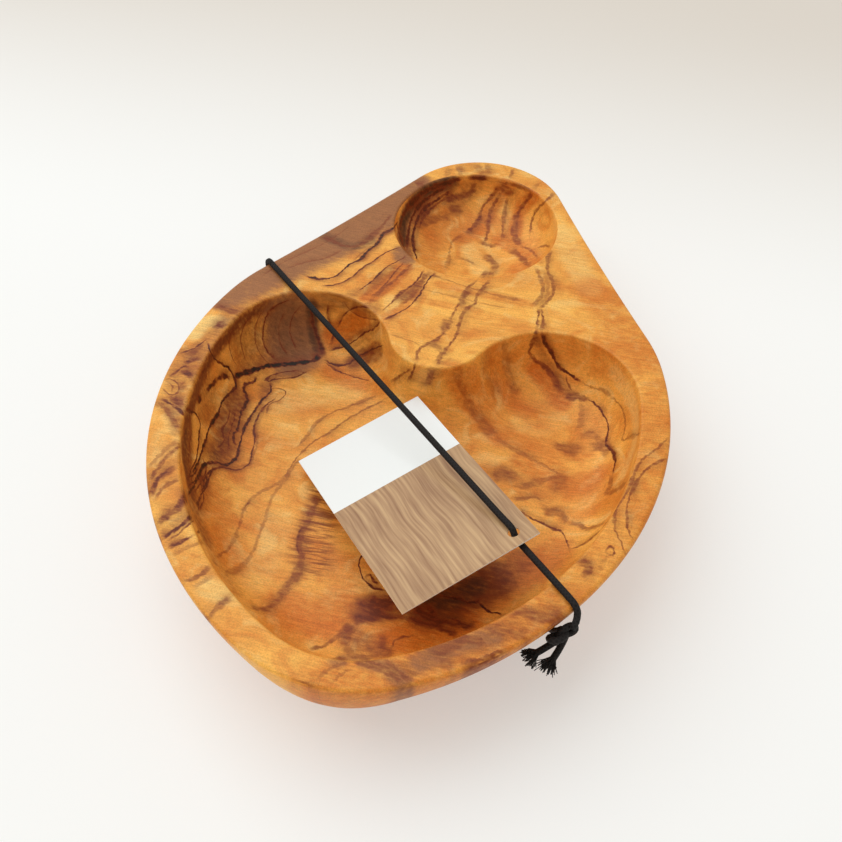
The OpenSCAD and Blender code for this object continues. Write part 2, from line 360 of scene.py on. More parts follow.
# Growth lines on the far rim
RIM_VEINS = (
    Vein(0.6, 0.85, ((398, 222), (392, 229), (383, 234), (377, 244), (368, 251), (361, 259), (350, 264),
                     (343, 270), (334, 277), (320, 279), (306, 276))),
    Vein(0.4, 0.7, ((408, 246), (394, 249), (382, 255), (372, 262), (362, 268), (352, 277), (338, 284),
                    (322, 286))),
    Vein(0.45, 0.7, ((409, 253), (400, 260), (388, 266), (378, 275), (370, 283), (358, 291))),
    Vein(0.9, 0.45, ((419, 259), (408, 267), (396, 279), (384, 288), (372, 297))),
    Vein(0.6, 0.6, ((424, 270), (414, 284), (402, 292), (392, 302), (382, 311))),
    Vein(2.2, 0.45, ((430, 271), (420, 283), (411, 295), (400, 304))),
    Vein(0.5, 0.75, ((438, 270), (428, 280), (420, 294), (411, 305), (398, 313), (384, 320))),
    Vein(0.4, 0.55, ((404, 262), (395, 272), (388, 281), (379, 291))),
)

# The soft pair down the tongue
TONGUE_PAIR = (
    Vein(1.0, 0.46, ((488, 270), (480, 278), (467, 289), (464, 297), (455, 310), (447, 326), (443, 334),
                     (434, 341), (424, 345), (418, 352), (416, 362))),
    Vein(1.0, 0.46, ((492, 270), (489, 280), (477, 296), (475, 304), (466, 309), (459, 325), (457, 334),
                     (445, 351), (436, 366))),
    Vein(1.7, 0.4, ((469, 288), (463, 298), (459, 306))),
    Vein(1.9, 0.42, ((450, 318), (446, 328), (441, 336))),
    Vein(1.9, 0.4, ((446, 350), (440, 357), (436, 364))),
    Vein(1.5, 0.28, ((430, 342), (438, 348), (446, 354))),
    Vein(0.6, 0.6, ((416, 362), (413, 372), (407, 381))),
    Vein(0.6, 0.5, ((411, 369), (400, 376), (391, 381))),
    Vein(2.0, 0.45, ((434, 367), (430, 378), (424, 386))),
)

# The pair that runs on into the right lobe
LOBE_PAIR = (
    Vein(1.0, 0.38, ((536, 268), (540, 276), (543, 286), (542, 294), (536, 303), (533, 306))),
    Vein(1.0, 0.42, ((552, 247), (548, 258), (548, 272), (553, 283), (553, 294), (547, 302), (539, 309))),
    Vein(1.5, 0.24, ((545, 270), (548, 284), (547, 296), (540, 306))),
    Vein(0.8, 0.5, ((539, 308), (538, 318), (537, 328))),
    Vein(0.8, 0.5, ((541, 308), (543, 320), (541, 331))),
)

# Faint rays across the tongue, and the heartwood's own lines
RAYS_AND_HEARTWOOD = (
    Vein(0.6, 0.28, ((428, 274), (450, 281), (474, 289), (500, 296), (520, 301))),
    Vein(0.5, 0.25, ((426, 290), (452, 296), (480, 303), (508, 308))),
    Vein(0.5, 0.25, ((390, 334), (402, 338), (414, 342), (420, 346))),
    Vein(1.1, 0.4, ((322, 236), (336, 243), (350, 247), (362, 244), (376, 232), (392, 214))),
    Vein(0.6, 0.35, ((288, 268), (306, 262), (326, 258), (342, 250))),
    Vein(0.4, 0.3, ((262, 276), (284, 262), (306, 252), (330, 240), (350, 226))),
    Vein(0.4, 0.3, ((352, 262), (366, 250), (380, 240), (392, 226))),
)

# Dark streaks round the well's left wall
WELL_STREAKS = (
    Vein(1.7, 0.75, ((462, 178), (450, 182), (438, 186), (424, 192), (412, 202), (404, 214), (399, 228))),
    Vein(1.0, 0.75, ((446, 187), (432, 195), (420, 205), (412, 218), (408, 234), (407, 248))),
    Vein(0.9, 0.7, ((452, 191), (440, 198), (426, 207), (417, 220), (413, 236), (414, 250), (418, 261))),
    Vein(0.8, 0.65, ((396, 222), (400, 236), (405, 250))),
    Vein(0.8, 0.5, ((456, 197), (446, 198), (436, 205), (425, 215), (419, 229))),
)

# Smudges of the well's far wall
WELL_SMUDGES = (
    Vein(1.4, 0.6, ((468, 178), (480, 178), (490, 178))),
    Vein(2.0, 0.45, ((471, 181), (474, 188), (466, 195), (453, 198), (443, 202))),
    Vein(1.6, 0.42, ((464, 208), (456, 208), (447, 206))),
    Vein(2.0, 0.36, ((421, 226), (430, 222), (440, 219), (451, 216))),
)

# The fan from the well's far edge and the lines of its floor, with a painted shadow along that edge
WELL_FAN = (
    Vein(2.8, 0.42, ((498, 184), (507, 190), (512, 198))),
    Vein(1.1, 0.5, ((500, 186), (492, 196), (483, 206), (479, 218), (472, 228), (465, 234))),
    Vein(0.9, 0.3, ((465, 234), (452, 242), (449, 256), (446, 268))),
    Vein(1.1, 0.46, ((502, 192), (494, 204), (489, 216), (488, 230), (485, 243))),
    Vein(1.0, 0.4, ((508, 196), (504, 212), (503, 228), (502, 240))),
    Vein(1.2, 0.45, ((533, 192), (527, 200), (520, 210), (515, 224), (515, 236), (521, 246))),
    Vein(1.2, 0.46, ((554, 193), (547, 200), (540, 206), (534, 214), (531, 226), (530, 234))),
    Vein(1.8, 0.46, ((480, 241), (490, 246), (498, 244))),
    Vein(2.0, 0.42, ((511, 249), (520, 256), (528, 264), (535, 266))),
    Vein(1.0, 0.36, ((521, 246), (530, 250), (538, 258), (542, 264))),
    Vein(0.8, 0.4, ((536, 248), (548, 246), (551, 250), (548, 260))),
    Vein(1.7, 0.42, ((484, 254), (490, 258), (496, 266), (494, 272))),
    Vein(0.9, 0.32, ((457, 258), (466, 260), (476, 265))),
    # Painted shadow along the well's far edge
    Vein(0.8, 0.38, ((496, 182), (510, 184), (524, 188), (532, 192))),
)

# Lines of the far lobe, with the nearly black seam under its heartwood
FAR_LOBE_VEINS = (
    Vein(1.2, 1.0, ((233, 377), (243, 373), (254, 370), (268, 366), (281, 365), (296, 363), (312, 361),
                    (321, 354))),
    Vein(0.8, 0.75, ((324, 356), (320, 344), (315, 330), (312, 316), (311, 303))),
    Vein(0.5, 0.6, ((290, 300), (277, 305), (268, 313), (264, 324), (263, 337), (267, 351), (277, 360))),
    Vein(0.3, 0.45, ((262, 312), (256, 324), (255, 338), (259, 352), (268, 363))),
    Vein(0.4, 0.6, ((338, 326), (346, 313), (357, 307), (370, 308))),
    Vein(0.5, 0.7, ((330, 350), (346, 346), (356, 340), (364, 333), (372, 330), (380, 322))),
    Vein(0.6, 0.75, ((324, 360), (336, 365), (348, 364), (356, 358), (365, 353), (376, 348), (383, 345))),
    Vein(1.4, 0.45, ((352, 362), (364, 357), (376, 350))),
    Vein(0.4, 0.6, ((324, 362), (338, 371), (354, 377), (370, 381))),
    Vein(0.45, 0.65, ((300, 370), (284, 372), (268, 377), (264, 382), (277, 379), (296, 377), (308, 371))),
    Vein(0.6, 0.85, ((207, 342), (214, 358), (222, 364), (229, 368), (234, 377), (236, 386), (228, 395),
                     (222, 402), (218, 414), (210, 426), (206, 438), (202, 451), (198, 462), (192, 474))),
    Vein(0.8, 0.8, ((256, 376), (254, 382), (246, 384), (244, 390), (248, 398), (244, 408), (240, 416),
                    (238, 428), (233, 437), (236, 447))),
    Vein(0.7, 0.85, ((270, 383), (271, 391), (262, 400), (254, 412), (246, 424), (242, 436), (239, 448),
                     (236, 458), (226, 465), (214, 462), (203, 466), (199, 475), (194, 486), (188, 494))),
    Vein(0.45, 0.65, ((276, 398), (264, 407), (258, 416), (254, 428), (255, 440), (252, 452), (249, 464),
                      (236, 470), (220, 467), (209, 472), (204, 481), (202, 494), (196, 506))),
    Vein(0.6, 0.8, ((185, 410), (196, 414), (200, 423), (199, 435), (198, 448), (196, 459), (191, 470),
                    (187, 482))),
    Vein(0.4, 0.6, ((192, 426), (190, 440), (189, 454), (188, 466))),
    Vein(0.45, 0.7, ((214, 466), (209, 478), (206, 488), (199, 498), (198, 512))),
    Vein(0.4, 0.5, ((300, 306), (292, 318), (290, 334), (297, 350))),
    Vein(0.3, 0.4, ((284, 312), (279, 326), (280, 342), (288, 356))),
    Vein(0.4, 0.5, ((250, 316), (243, 328), (241, 344), (246, 360))),
    Vein(0.4, 0.5, ((234, 326), (229, 340), (231, 354), (238, 368))),
    Vein(0.4, 0.5, ((328, 304), (328, 318), (334, 332), (330, 346))),
    Vein(0.4, 0.45, ((344, 302), (352, 312), (366, 318), (378, 320))),
    Vein(0.4, 0.6, ((186, 462), (192, 474), (190, 488), (194, 502))),
    Vein(0.4, 0.6, ((203, 458), (206, 470), (201, 484), (204, 498), (199, 510))),
    Vein(0.35, 0.5, ((266, 390), (276, 388), (286, 392), (280, 400), (270, 404), (266, 414))),
    Vein(0.5, 0.75, ((186, 479), (194, 474), (198, 467))),
    Vein(0.5, 0.75, ((188, 487), (196, 479), (201, 470))),
    Vein(0.5, 0.7, ((194, 492), (200, 484), (203, 474))),
    Vein(0.5, 0.7, ((200, 492), (206, 484), (207, 473))),
    Vein(1.0, 0.28, ((254, 425), (255, 436), (257, 444), (252, 456), (250, 464), (240, 467), (226, 470))),
    Vein(1.5, 0.85, ((206, 391), (212, 385), (217, 379))),
    Vein(1.2, 0.85, ((201, 374), (206, 367))),
    Vein(1.1, 0.85, ((197, 402), (202, 396))),
    Vein(1.1, 0.75, ((216, 380), (226, 376), (231, 379))),
    Vein(2.2, 0.3, ((240, 402), (234, 416), (230, 430), (226, 444), (218, 456))),
    Vein(0.6, 0.6, ((230, 408), (228, 420), (222, 430), (224, 440), (216, 450))),
    Vein(0.5, 0.6, ((236, 410), (233, 423), (229, 436), (228, 450))),
)

# Fine lines of the floor
FLOOR_VEINS = (
    Vein(0.6, 0.36, ((376, 396), (360, 402), (345, 408), (331, 413), (318, 421), (309, 433), (298, 447))),
    Vein(0.6, 0.4, ((384, 400), (362, 411), (345, 421), (330, 432), (315, 441), (302, 452), (292, 465),
                    (283, 480))),
    Vein(1.1, 0.3, ((300, 458), (283, 480), (264, 490), (250, 500), (243, 513), (238, 530), (230, 547),
                    (217, 557))),
    Vein(1.1, 0.28, ((284, 480), (271, 500), (265, 520), (257, 540), (250, 557), (237, 569), (225, 574))),
    Vein(0.7, 0.5, ((250, 498), (247, 505), (242, 511))),
    Vein(1.6, 0.4, ((321, 494), (313, 510), (304, 531), (299, 546), (303, 558), (297, 573), (287, 587),
                    (277, 600), (266, 609), (248, 606))),
    Vein(0.6, 0.55, ((304, 524), (299, 535), (297, 546), (300, 556))),
    Vein(2.0, 0.34, ((292, 584), (280, 598), (268, 608))),
)

# The dark mass of the toe, with its lines under the card
TOE_VEINS = (
    Vein(4.6, 0.6, ((358, 611), (374, 606), (392, 602), (404, 604))),
    Vein(1.4, 0.55, ((350, 621), (370, 617), (390, 616), (405, 618), (420, 623), (435, 626), (448, 630),
                     (457, 637))),
    Vein(1.8, 0.62, ((412, 606), (424, 613), (433, 621), (446, 622), (460, 623), (473, 629))),
    Vein(0.7, 0.7, ((424, 604), (430, 609), (432, 618))),
    Vein(0.7, 0.85, ((438, 595), (450, 598), (460, 599), (468, 603), (478, 601), (482, 606), (487, 611),
                     (497, 613), (503, 615))),
    Vein(2.0, 0.3, ((350, 627), (346, 643), (354, 655), (370, 657), (383, 648), (381, 632))),
    Vein(1.3, 0.42, ((353, 621), (345, 632), (336, 638), (324, 645), (308, 650))),
    Vein(0.6, 0.45, ((414, 636), (402, 637), (394, 642), (390, 650))),
    Vein(0.5, 0.75, ((386, 550), (366, 553), (359, 562), (361, 574), (366, 582), (374, 588), (386, 591))),
    Vein(0.5, 0.6, ((364, 578), (370, 574), (374, 581), (380, 586))),
)

# Lines of the right lobe, from the pair off the tongue to the crease at its near edge
RIGHT_LOBE_VEINS = (
    Vein(0.8, 0.72, ((541, 331), (546, 345), (553, 356), (558, 366), (566, 372), (574, 377), (581, 382))),
    Vein(1.3, 0.48, ((537, 328), (534, 340), (530, 350), (531, 357), (540, 363), (548, 371), (554, 380),
                     (562, 391))),
    Vein(0.5, 0.5, ((532, 354), (538, 361), (547, 366), (554, 376), (557, 385), (564, 393))),
    Vein(2.0, 0.48, ((564, 392), (572, 396), (580, 397), (590, 401))),
    Vein(0.6, 0.72, ((586, 399), (597, 405), (603, 414), (608, 424), (608, 434), (606, 444), (613, 452),
                     (615, 462), (613, 474))),
    Vein(0.5, 0.5, ((566, 375), (568, 384), (573, 392))),
    Vein(0.8, 0.32, ((581, 382), (590, 387), (602, 390), (612, 397))),
    Vein(0.8, 0.36, ((610, 396), (620, 405), (625, 418), (625, 430), (622, 440), (632, 436), (640, 434))),
    Vein(1.4, 0.26, ((581, 402), (581, 418), (577, 430))),
    Vein(2.6, 0.38, ((552, 444), (562, 447), (572, 450), (584, 450))),
    Vein(1.6, 0.3, ((578, 436), (590, 435), (600, 441))),
    Vein(2.6, 0.4, ((590, 448), (600, 446), (611, 453))),
    Vein(1.4, 0.34, ((612, 474), (610, 486), (606, 494), (616, 490), (624, 485), (628, 478))),
    Vein(3.2, 0.38, ((490, 479), (500, 475), (510, 475), (519, 480))),
    Vein(1.8, 0.32, ((518, 487), (532, 484), (545, 480), (556, 477), (568, 482))),
    Vein(2.6, 0.28, ((550, 484), (562, 487))),
    Vein(0.6, 0.38, ((512, 499), (524, 499), (534, 497), (543, 501))),
    Vein(1.8, 0.38, ((541, 505), (550, 511), (560, 513), (566, 520), (561, 523))),
    Vein(1.7, 0.38, ((568, 523), (580, 525), (586, 529), (597, 526), (606, 521))),
    Vein(0.6, 0.55, ((519, 508), (527, 516), (540, 522), (552, 528), (562, 532), (566, 540), (570, 549))),
    Vein(0.5, 0.45, ((570, 549), (580, 546), (592, 538), (603, 527), (612, 515), (622, 500), (630, 487))),
    Vein(2.0, 0.26, ((456, 370), (464, 394), (480, 420), (494, 437))),
    Vein(1.0, 0.28, ((494, 437), (515, 450), (545, 466), (562, 476))),
    Vein(2.4, 0.18, ((483, 352), (487, 378), (499, 398))),
    Vein(1.8, 0.26, ((503, 340), (507, 366), (515, 396))),
)

# Lines of the right rim, with its pin knots
RIGHT_RIM_VEINS = (
    Vein(0.6, 0.42, ((668, 438), (660, 446), (652, 452), (644, 458), (637, 467), (630, 485), (622, 500),
                     (617, 508), (614, 522), (617, 534), (622, 545), (625, 554))),
    Vein(0.6, 0.46, ((667, 458), (656, 463), (644, 472), (634, 487), (628, 502), (627, 515), (628, 528),
                     (633, 540))),
    Vein(0.7, 0.5, ((605, 552), (608, 547), (613, 547), (615, 552), (611, 556), (606, 554))),
    Vein(1.2, 0.46, ((577, 564), (584, 562), (588, 567), (586, 574), (580, 576))),
    Vein(0.7, 0.45, ((602, 563), (606, 558))),
    Vein(0.7, 0.4, ((599, 570), (603, 566))),
)

# Lines of the left rim, from the heartwood down to the toe
LEFT_RIM_VEINS = (
    Vein(1.3, 0.45, ((211, 304), (225, 309), (240, 313))),
    Vein(2.0, 0.55, ((213, 330), (220, 325), (228, 321))),
    Vein(0.6, 0.65, ((207, 339), (198, 346), (188, 351), (178, 354), (170, 360))),
    Vein(1.6, 0.46, ((203, 344), (194, 352), (184, 356))),
    Vein(1.5, 0.62, ((183, 364), (190, 361), (201, 357))),
    Vein(0.8, 0.62, ((170, 377), (177, 371), (184, 366), (190, 368))),
    Vein(0.9, 0.62, ((178, 374), (186, 372), (192, 378))),
    Vein(1.2, 0.62, ((179, 386), (188, 384))),
    Vein(0.4, 0.5, ((160, 380), (172, 379), (179, 386), (176, 394), (168, 394), (163, 388))),
    Vein(0.4, 0.45, ((168, 382), (173, 387), (171, 392))),
    Vein(1.5, 0.56, ((168, 396), (176, 401), (184, 408))),
    Vein(0.7, 0.65, ((156, 399), (163, 400), (171, 404), (179, 410), (185, 417))),
    Vein(0.8, 0.4, ((160, 403), (168, 412), (174, 421), (178, 430))),
    Vein(1.2, 0.28, ((148, 468), (160, 455), (170, 446), (178, 440))),
    Vein(1.1, 0.46, ((150, 480), (160, 465), (171, 453), (181, 445))),
    Vein(1.3, 0.56, ((150, 497), (154, 487), (158, 479), (166, 473), (175, 466))),
    Vein(0.9, 0.38, ((155, 500), (163, 488), (171, 483), (181, 478))),
    Vein(1.8, 0.52, ((157, 525), (168, 516), (177, 508), (186, 496))),
    Vein(1.1, 0.68, ((161, 539), (172, 532), (179, 527), (187, 520), (192, 517))),
    Vein(0.5, 0.5, ((168, 540), (178, 534), (187, 526), (194, 520))),
    Vein(0.9, 0.6, ((167, 549), (178, 543), (188, 538), (200, 531))),
    Vein(1.1, 0.25, ((172, 556), (182, 550), (192, 546), (203, 541))),
    Vein(1.1, 0.42, ((183, 582), (193, 579), (203, 573), (209, 567), (217, 563))),
    Vein(1.1, 0.25, ((192, 588), (203, 582), (213, 576))),
    Vein(1.4, 0.44, ((208, 618), (216, 609), (225, 602), (237, 597))),
)

# Lines of the rim at the toe and in front
FRONT_RIM_VEINS = (
    Vein(1.2, 0.38, ((288, 684), (302, 685), (322, 690))),
    Vein(1.1, 0.26, ((318, 680), (326, 671), (338, 665), (350, 662))),
    Vein(1.0, 0.24, ((330, 685), (339, 676), (353, 668))),
    Vein(1.7, 0.38, ((326, 658), (345, 660), (362, 663), (379, 667), (392, 674), (403, 683))),
    Vein(1.2, 0.38, ((384, 660), (394, 668), (404, 677), (413, 683))),
    Vein(2.4, 0.4, ((432, 657), (447, 648), (462, 640), (476, 640), (487, 646))),
    Vein(1.8, 0.3, ((440, 654), (446, 664), (454, 671))),
    Vein(1.5, 0.46, ((460, 668), (474, 662), (490, 656), (506, 649))),
    Vein(2.2, 0.28, ((474, 629), (490, 627), (506, 625))),
    Vein(2.2, 0.34, ((486, 634), (504, 631), (517, 635), (530, 637))),
    Vein(1.7, 0.38, ((498, 617), (512, 614), (526, 614), (541, 619), (556, 616), (567, 611))),
)

# Lines of the rim beyond the well
HEAD_RIM_VEINS = (
    Vein(2.2, 0.5, ((417, 177), (421, 188))),
    Vein(1.8, 0.26, ((448, 167), (447, 179))),
    Vein(1.5, 0.36, ((458, 165), (461, 177))),
    Vein(2.6, 0.3, ((474, 164), (480, 170), (484, 178))),
    Vein(1.8, 0.3, ((487, 163), (489, 177))),
    Vein(1.2, 0.36, ((515, 165), (509, 179))),
    Vein(1.2, 0.26, ((541, 179), (534, 190))),
)

# Soft colours of the rim
RIM_BANDS = (
    Band(HEART, 15, 1.0, ((262, 274), (300, 256), (336, 240), (366, 222), (396, 200))),
    Band(HEART, 10, 0.9, ((226, 296), (254, 284), (284, 272))),
    Band(HEART, 7, 0.9, ((396, 200), (408, 192), (420, 182))),
    Band(SMOKE, 4, 0.5, ((322, 234), (340, 243), (354, 247), (370, 240))),
    Band(BROWN, 4.5, 0.6, ((212, 303), (226, 306), (240, 312))),
    Band(BROWN, 4, 0.5, ((392, 268), (380, 280), (366, 290), (352, 294))),
    Band(ORANGE, 5, 0.8, ((404, 268), (388, 284), (368, 298))),
    Band(ORANGE, 3, 0.6, ((418, 292), (402, 308), (386, 316))),
    Band(ORANGE, 3.5, 0.55, ((440, 284), (470, 291), (500, 298), (530, 304))),
    Band(ORANGE, 3, 0.5, ((420, 300), (450, 306), (480, 312))),
    Band(ORANGE, 3, 0.45, ((470, 316), (500, 318), (525, 322))),
    Band(ORANGE, 12, 0.55, ((592, 290), (610, 312), (632, 334), (652, 360))),
    Band(ORANGE, 4, 0.4, ((548, 312), (570, 320), (596, 330), (622, 344))),
    Band(ORANGE, 16, 0.5, ((664, 396), (654, 460), (626, 530), (590, 576), (540, 612))),
    Band(ORANGE, 16, 0.6, ((556, 606), (500, 632), (440, 660), (380, 682), (330, 690))),
    Band(PALE, 8, 0.5, ((560, 232), (575, 262), (590, 288))),
    Band(PALE, 5, 0.8, ((194, 334), (206, 322), (218, 322))),
    Band(PALE, 6, 0.6, ((208, 588), (232, 596))),
    Band(BROWN, 4, 0.5, ((160, 402), (172, 414), (178, 430))),
    Band(BROWN, 6, 0.45, ((188, 358), (174, 376), (180, 394))),
    Band(BROWN, 4, 0.4, ((152, 480), (166, 468), (180, 456))),
    Band(BROWN, 5, 0.45, ((158, 522), (174, 512), (190, 502))),
    Band(ORANGE, 8, 0.1, ((250, 640), (280, 660), (310, 676))),
    Band(BROWN, 4, 0.5, ((168, 530), (180, 522), (192, 516))),
    Band(BROWN, 5, 0.5, ((396, 678), (410, 668), (428, 656), (452, 650), (480, 646), (500, 636))),
    Band(HEART, 4, 0.6, ((336, 660), (368, 662), (388, 670), (404, 682))),
    Band(ORANGE, 7, 0.5, ((330, 676), (360, 684), (392, 684))),
    Band(HEART, 5, 0.6, ((420, 664), (446, 650), (470, 642), (492, 636))),
    Band(BROWN, 6, 0.4, ((430, 660), (474, 648), (520, 622), (552, 612))),
)

# Soft colours of the hollow, with painted shade on its left walls and under the card, and painted light on
# the right lobe's right wall
HOLLOW_BANDS = (
    Band(HEART, 15, 1.0, ((290, 316), (292, 334), (294, 352))),
    Band(SMOKE, 3.5, 0.7, ((312, 304), (312, 320), (314, 336), (319, 350))),
    Band(BROWN, 14, 0.55, ((240, 318), (246, 336), (250, 358))),
    # Painted shade along the top of the hollow's left wall, which faces away from the light
    Band(BROWN, 9, 0.5, ((262, 300), (240, 312), (222, 330), (208, 352), (198, 380))),
    Band(SMOKE, 3, 0.45, ((186, 430), (185, 456), (188, 480), (194, 500))),
    Band(SMOKE, 3, 0.4, ((226, 430), (222, 448), (210, 460))),
    Band(BROWN, 6, 0.5, ((196, 478), (204, 490), (196, 510))),
    Band(BROWN, 7, 0.55, ((322, 302), (346, 300), (370, 308))),
    Band(BROWN, 5, 0.5, ((350, 344), (364, 336), (376, 330))),
    Band(ORANGE, 7, 0.8, ((332, 336), (348, 326), (362, 318))),
    Band(BROWN, 6, 0.7, ((354, 362), (366, 356), (378, 350))),
    Band(BROWN, 8, 0.7, ((236, 400), (230, 420), (226, 440), (218, 456))),
    Band(BROWN, 9, 0.5, ((196, 372), (208, 390), (206, 412))),
    # Dark streaks with painted shade over them, on the hollow's left wall
    Band(BROWN, 6, 0.8, ((188, 420), (188, 446), (188, 470), (192, 492))),
    Band(BROWN, 4, 0.6, ((300, 368), (278, 376), (266, 386), (266, 396))),
    Band(ORANGE, 6, 0.6, ((330, 372), (356, 382), (384, 386))),
    Band(ORANGE, 6, 0.5, ((204, 486), (216, 476), (236, 476))),
    Band(ORANGE, 9, 0.55, ((214, 500), (214, 530), (228, 560))),
    Band(RIBBED, 9, 0.9, ((330, 492), (322, 512), (316, 530), (310, 546), (312, 560))),
    Band(BROWN, 4, 0.4, ((314, 500), (302, 534), (302, 560), (288, 588), (266, 608))),
    Band(BROWN, 8, 0.7, ((368, 610), (390, 607), (416, 606))),
    Band(BROWN, 6, 0.6, ((350, 638), (368, 644), (382, 652))),
    Band(ORANGE, 14, 0.6, ((290, 612), (316, 618), (340, 612))),
    Band(ORANGE, 11, 0.5, ((322, 556), (344, 574), (348, 596))),
    Band(ORANGE, 10, 0.8, ((396, 640), (430, 634), (462, 622))),
    # The next two bands are darker wood with the card's painted shadow over it
    Band(BROWN, 11, 0.85, ((430, 610), (462, 596), (492, 580))),
    Band(BROWN, 8, 0.5, ((486, 582), (508, 572), (524, 560))),
    Band(ORANGE, 10, 0.6, ((500, 590), (530, 572), (556, 552))),
    # Darker wood with the card's painted shadow over it
    Band(SMOKE, 6, 0.6, ((424, 600), (450, 600), (476, 586))),
    Band(SMOKE, 4, 0.45, ((420, 616), (440, 620), (468, 624))),
    Band(PALE, 9, 0.45, ((280, 404), (320, 396), (352, 390))),
    Band(PALE, 9, 0.4, ((278, 520), (270, 550), (254, 580))),
    Band(ORANGE, 6, 0.6, ((452, 368), (462, 392), (482, 420), (500, 440))),
    Band(ORANGE, 6, 0.5, ((492, 352), (500, 380), (516, 404), (540, 424))),
    Band(ORANGE, 5, 0.5, ((470, 372), (490, 410), (520, 440), (560, 470))),
    # The next three bands are painted shade on the hollow's near-left wall, which faces away from the light
    Band(BROWN, 6, 0.6, ((190, 500), (198, 520), (206, 540))),
    Band(BROWN, 5, 0.35, ((206, 540), (216, 560), (236, 592))),
    Band(ORANGE, 9, 0.4, ((204, 520), (222, 560), (252, 600), (290, 634))),
    Band(ORANGE, 4, 0.1, ((590, 372), (616, 392), (630, 420), (628, 446))),
    Band(ORANGE, 6, 0.7, ((536, 368), (548, 384), (562, 402))),
    Band(BROWN, 3, 0.5, ((536, 340), (544, 358), (556, 372), (566, 388))),
    Band(PALE, 7, 0.4, ((560, 420), (540, 428), (520, 424))),
    Band(BROWN, 3, 0.5, ((180, 352), (192, 348), (202, 342))),
    # The next two bands are painted shade along the top of the hollow's left wall
    Band(BROWN, 4.5, 0.85, ((266, 306), (246, 318), (234, 329), (220, 345), (210, 360), (201, 380),
                            (194, 399), (188, 418), (184, 440), (184, 458), (189, 480))),
    Band(SMOKE, 3, 0.35, ((284, 300), (246, 318), (220, 345), (201, 380), (188, 418), (184, 452))),
    Band(SMOKE, 12, 0.42, ((284, 316), (288, 334), (292, 352))),
    # Painted light on the right lobe's right wall, which faces the light
    Band(PALE, 6, 0.5, ((616, 374), (630, 396), (636, 420), (634, 446), (624, 472))),
    Band(ORANGE, 6, 0.6, ((520, 460), (550, 478), (580, 486), (606, 470))),
    Band(BROWN, 6, 0.35, ((490, 470), (512, 476), (534, 492), (560, 490))),
    Band(ORANGE, 16, 0.4, ((540, 440), (570, 440), (596, 430))),
    Band(BROWN, 5, 0.4, ((404, 372), (424, 378), (434, 372))),
)

# Soft colours of the well, with a painted highlight on its floor
WELL_BANDS = (
    Band(HEART, 7, 0.9, ((440, 184), (420, 198), (406, 218), (402, 240), (406, 256))),
    Band(SMOKE, 4.5, 0.75, ((452, 182), (430, 189), (412, 204), (403, 222), (402, 240))),
    Band(BROWN, 5, 0.5, ((470, 186), (446, 198), (424, 208), (416, 222))),
    Band(BROWN, 5, 0.4, ((478, 178), (474, 190), (460, 200), (456, 210))),
    Band(ORANGE, 6, 0.6, ((508, 184), (492, 206), (482, 226), (464, 238))),
    Band(ORANGE, 5, 0.7, ((534, 194), (520, 212), (515, 232))),
    Band(ORANGE, 6, 0.6, ((500, 240), (520, 250), (534, 262), (516, 270))),
    # Painted highlight: the gloss on the well's floor
    Band(PALE, 6, 0.5, ((468, 250), (476, 262), (480, 272))),
    Band(ORANGE, 7, 0.5, ((430, 240), (428, 256), (438, 268))),
)


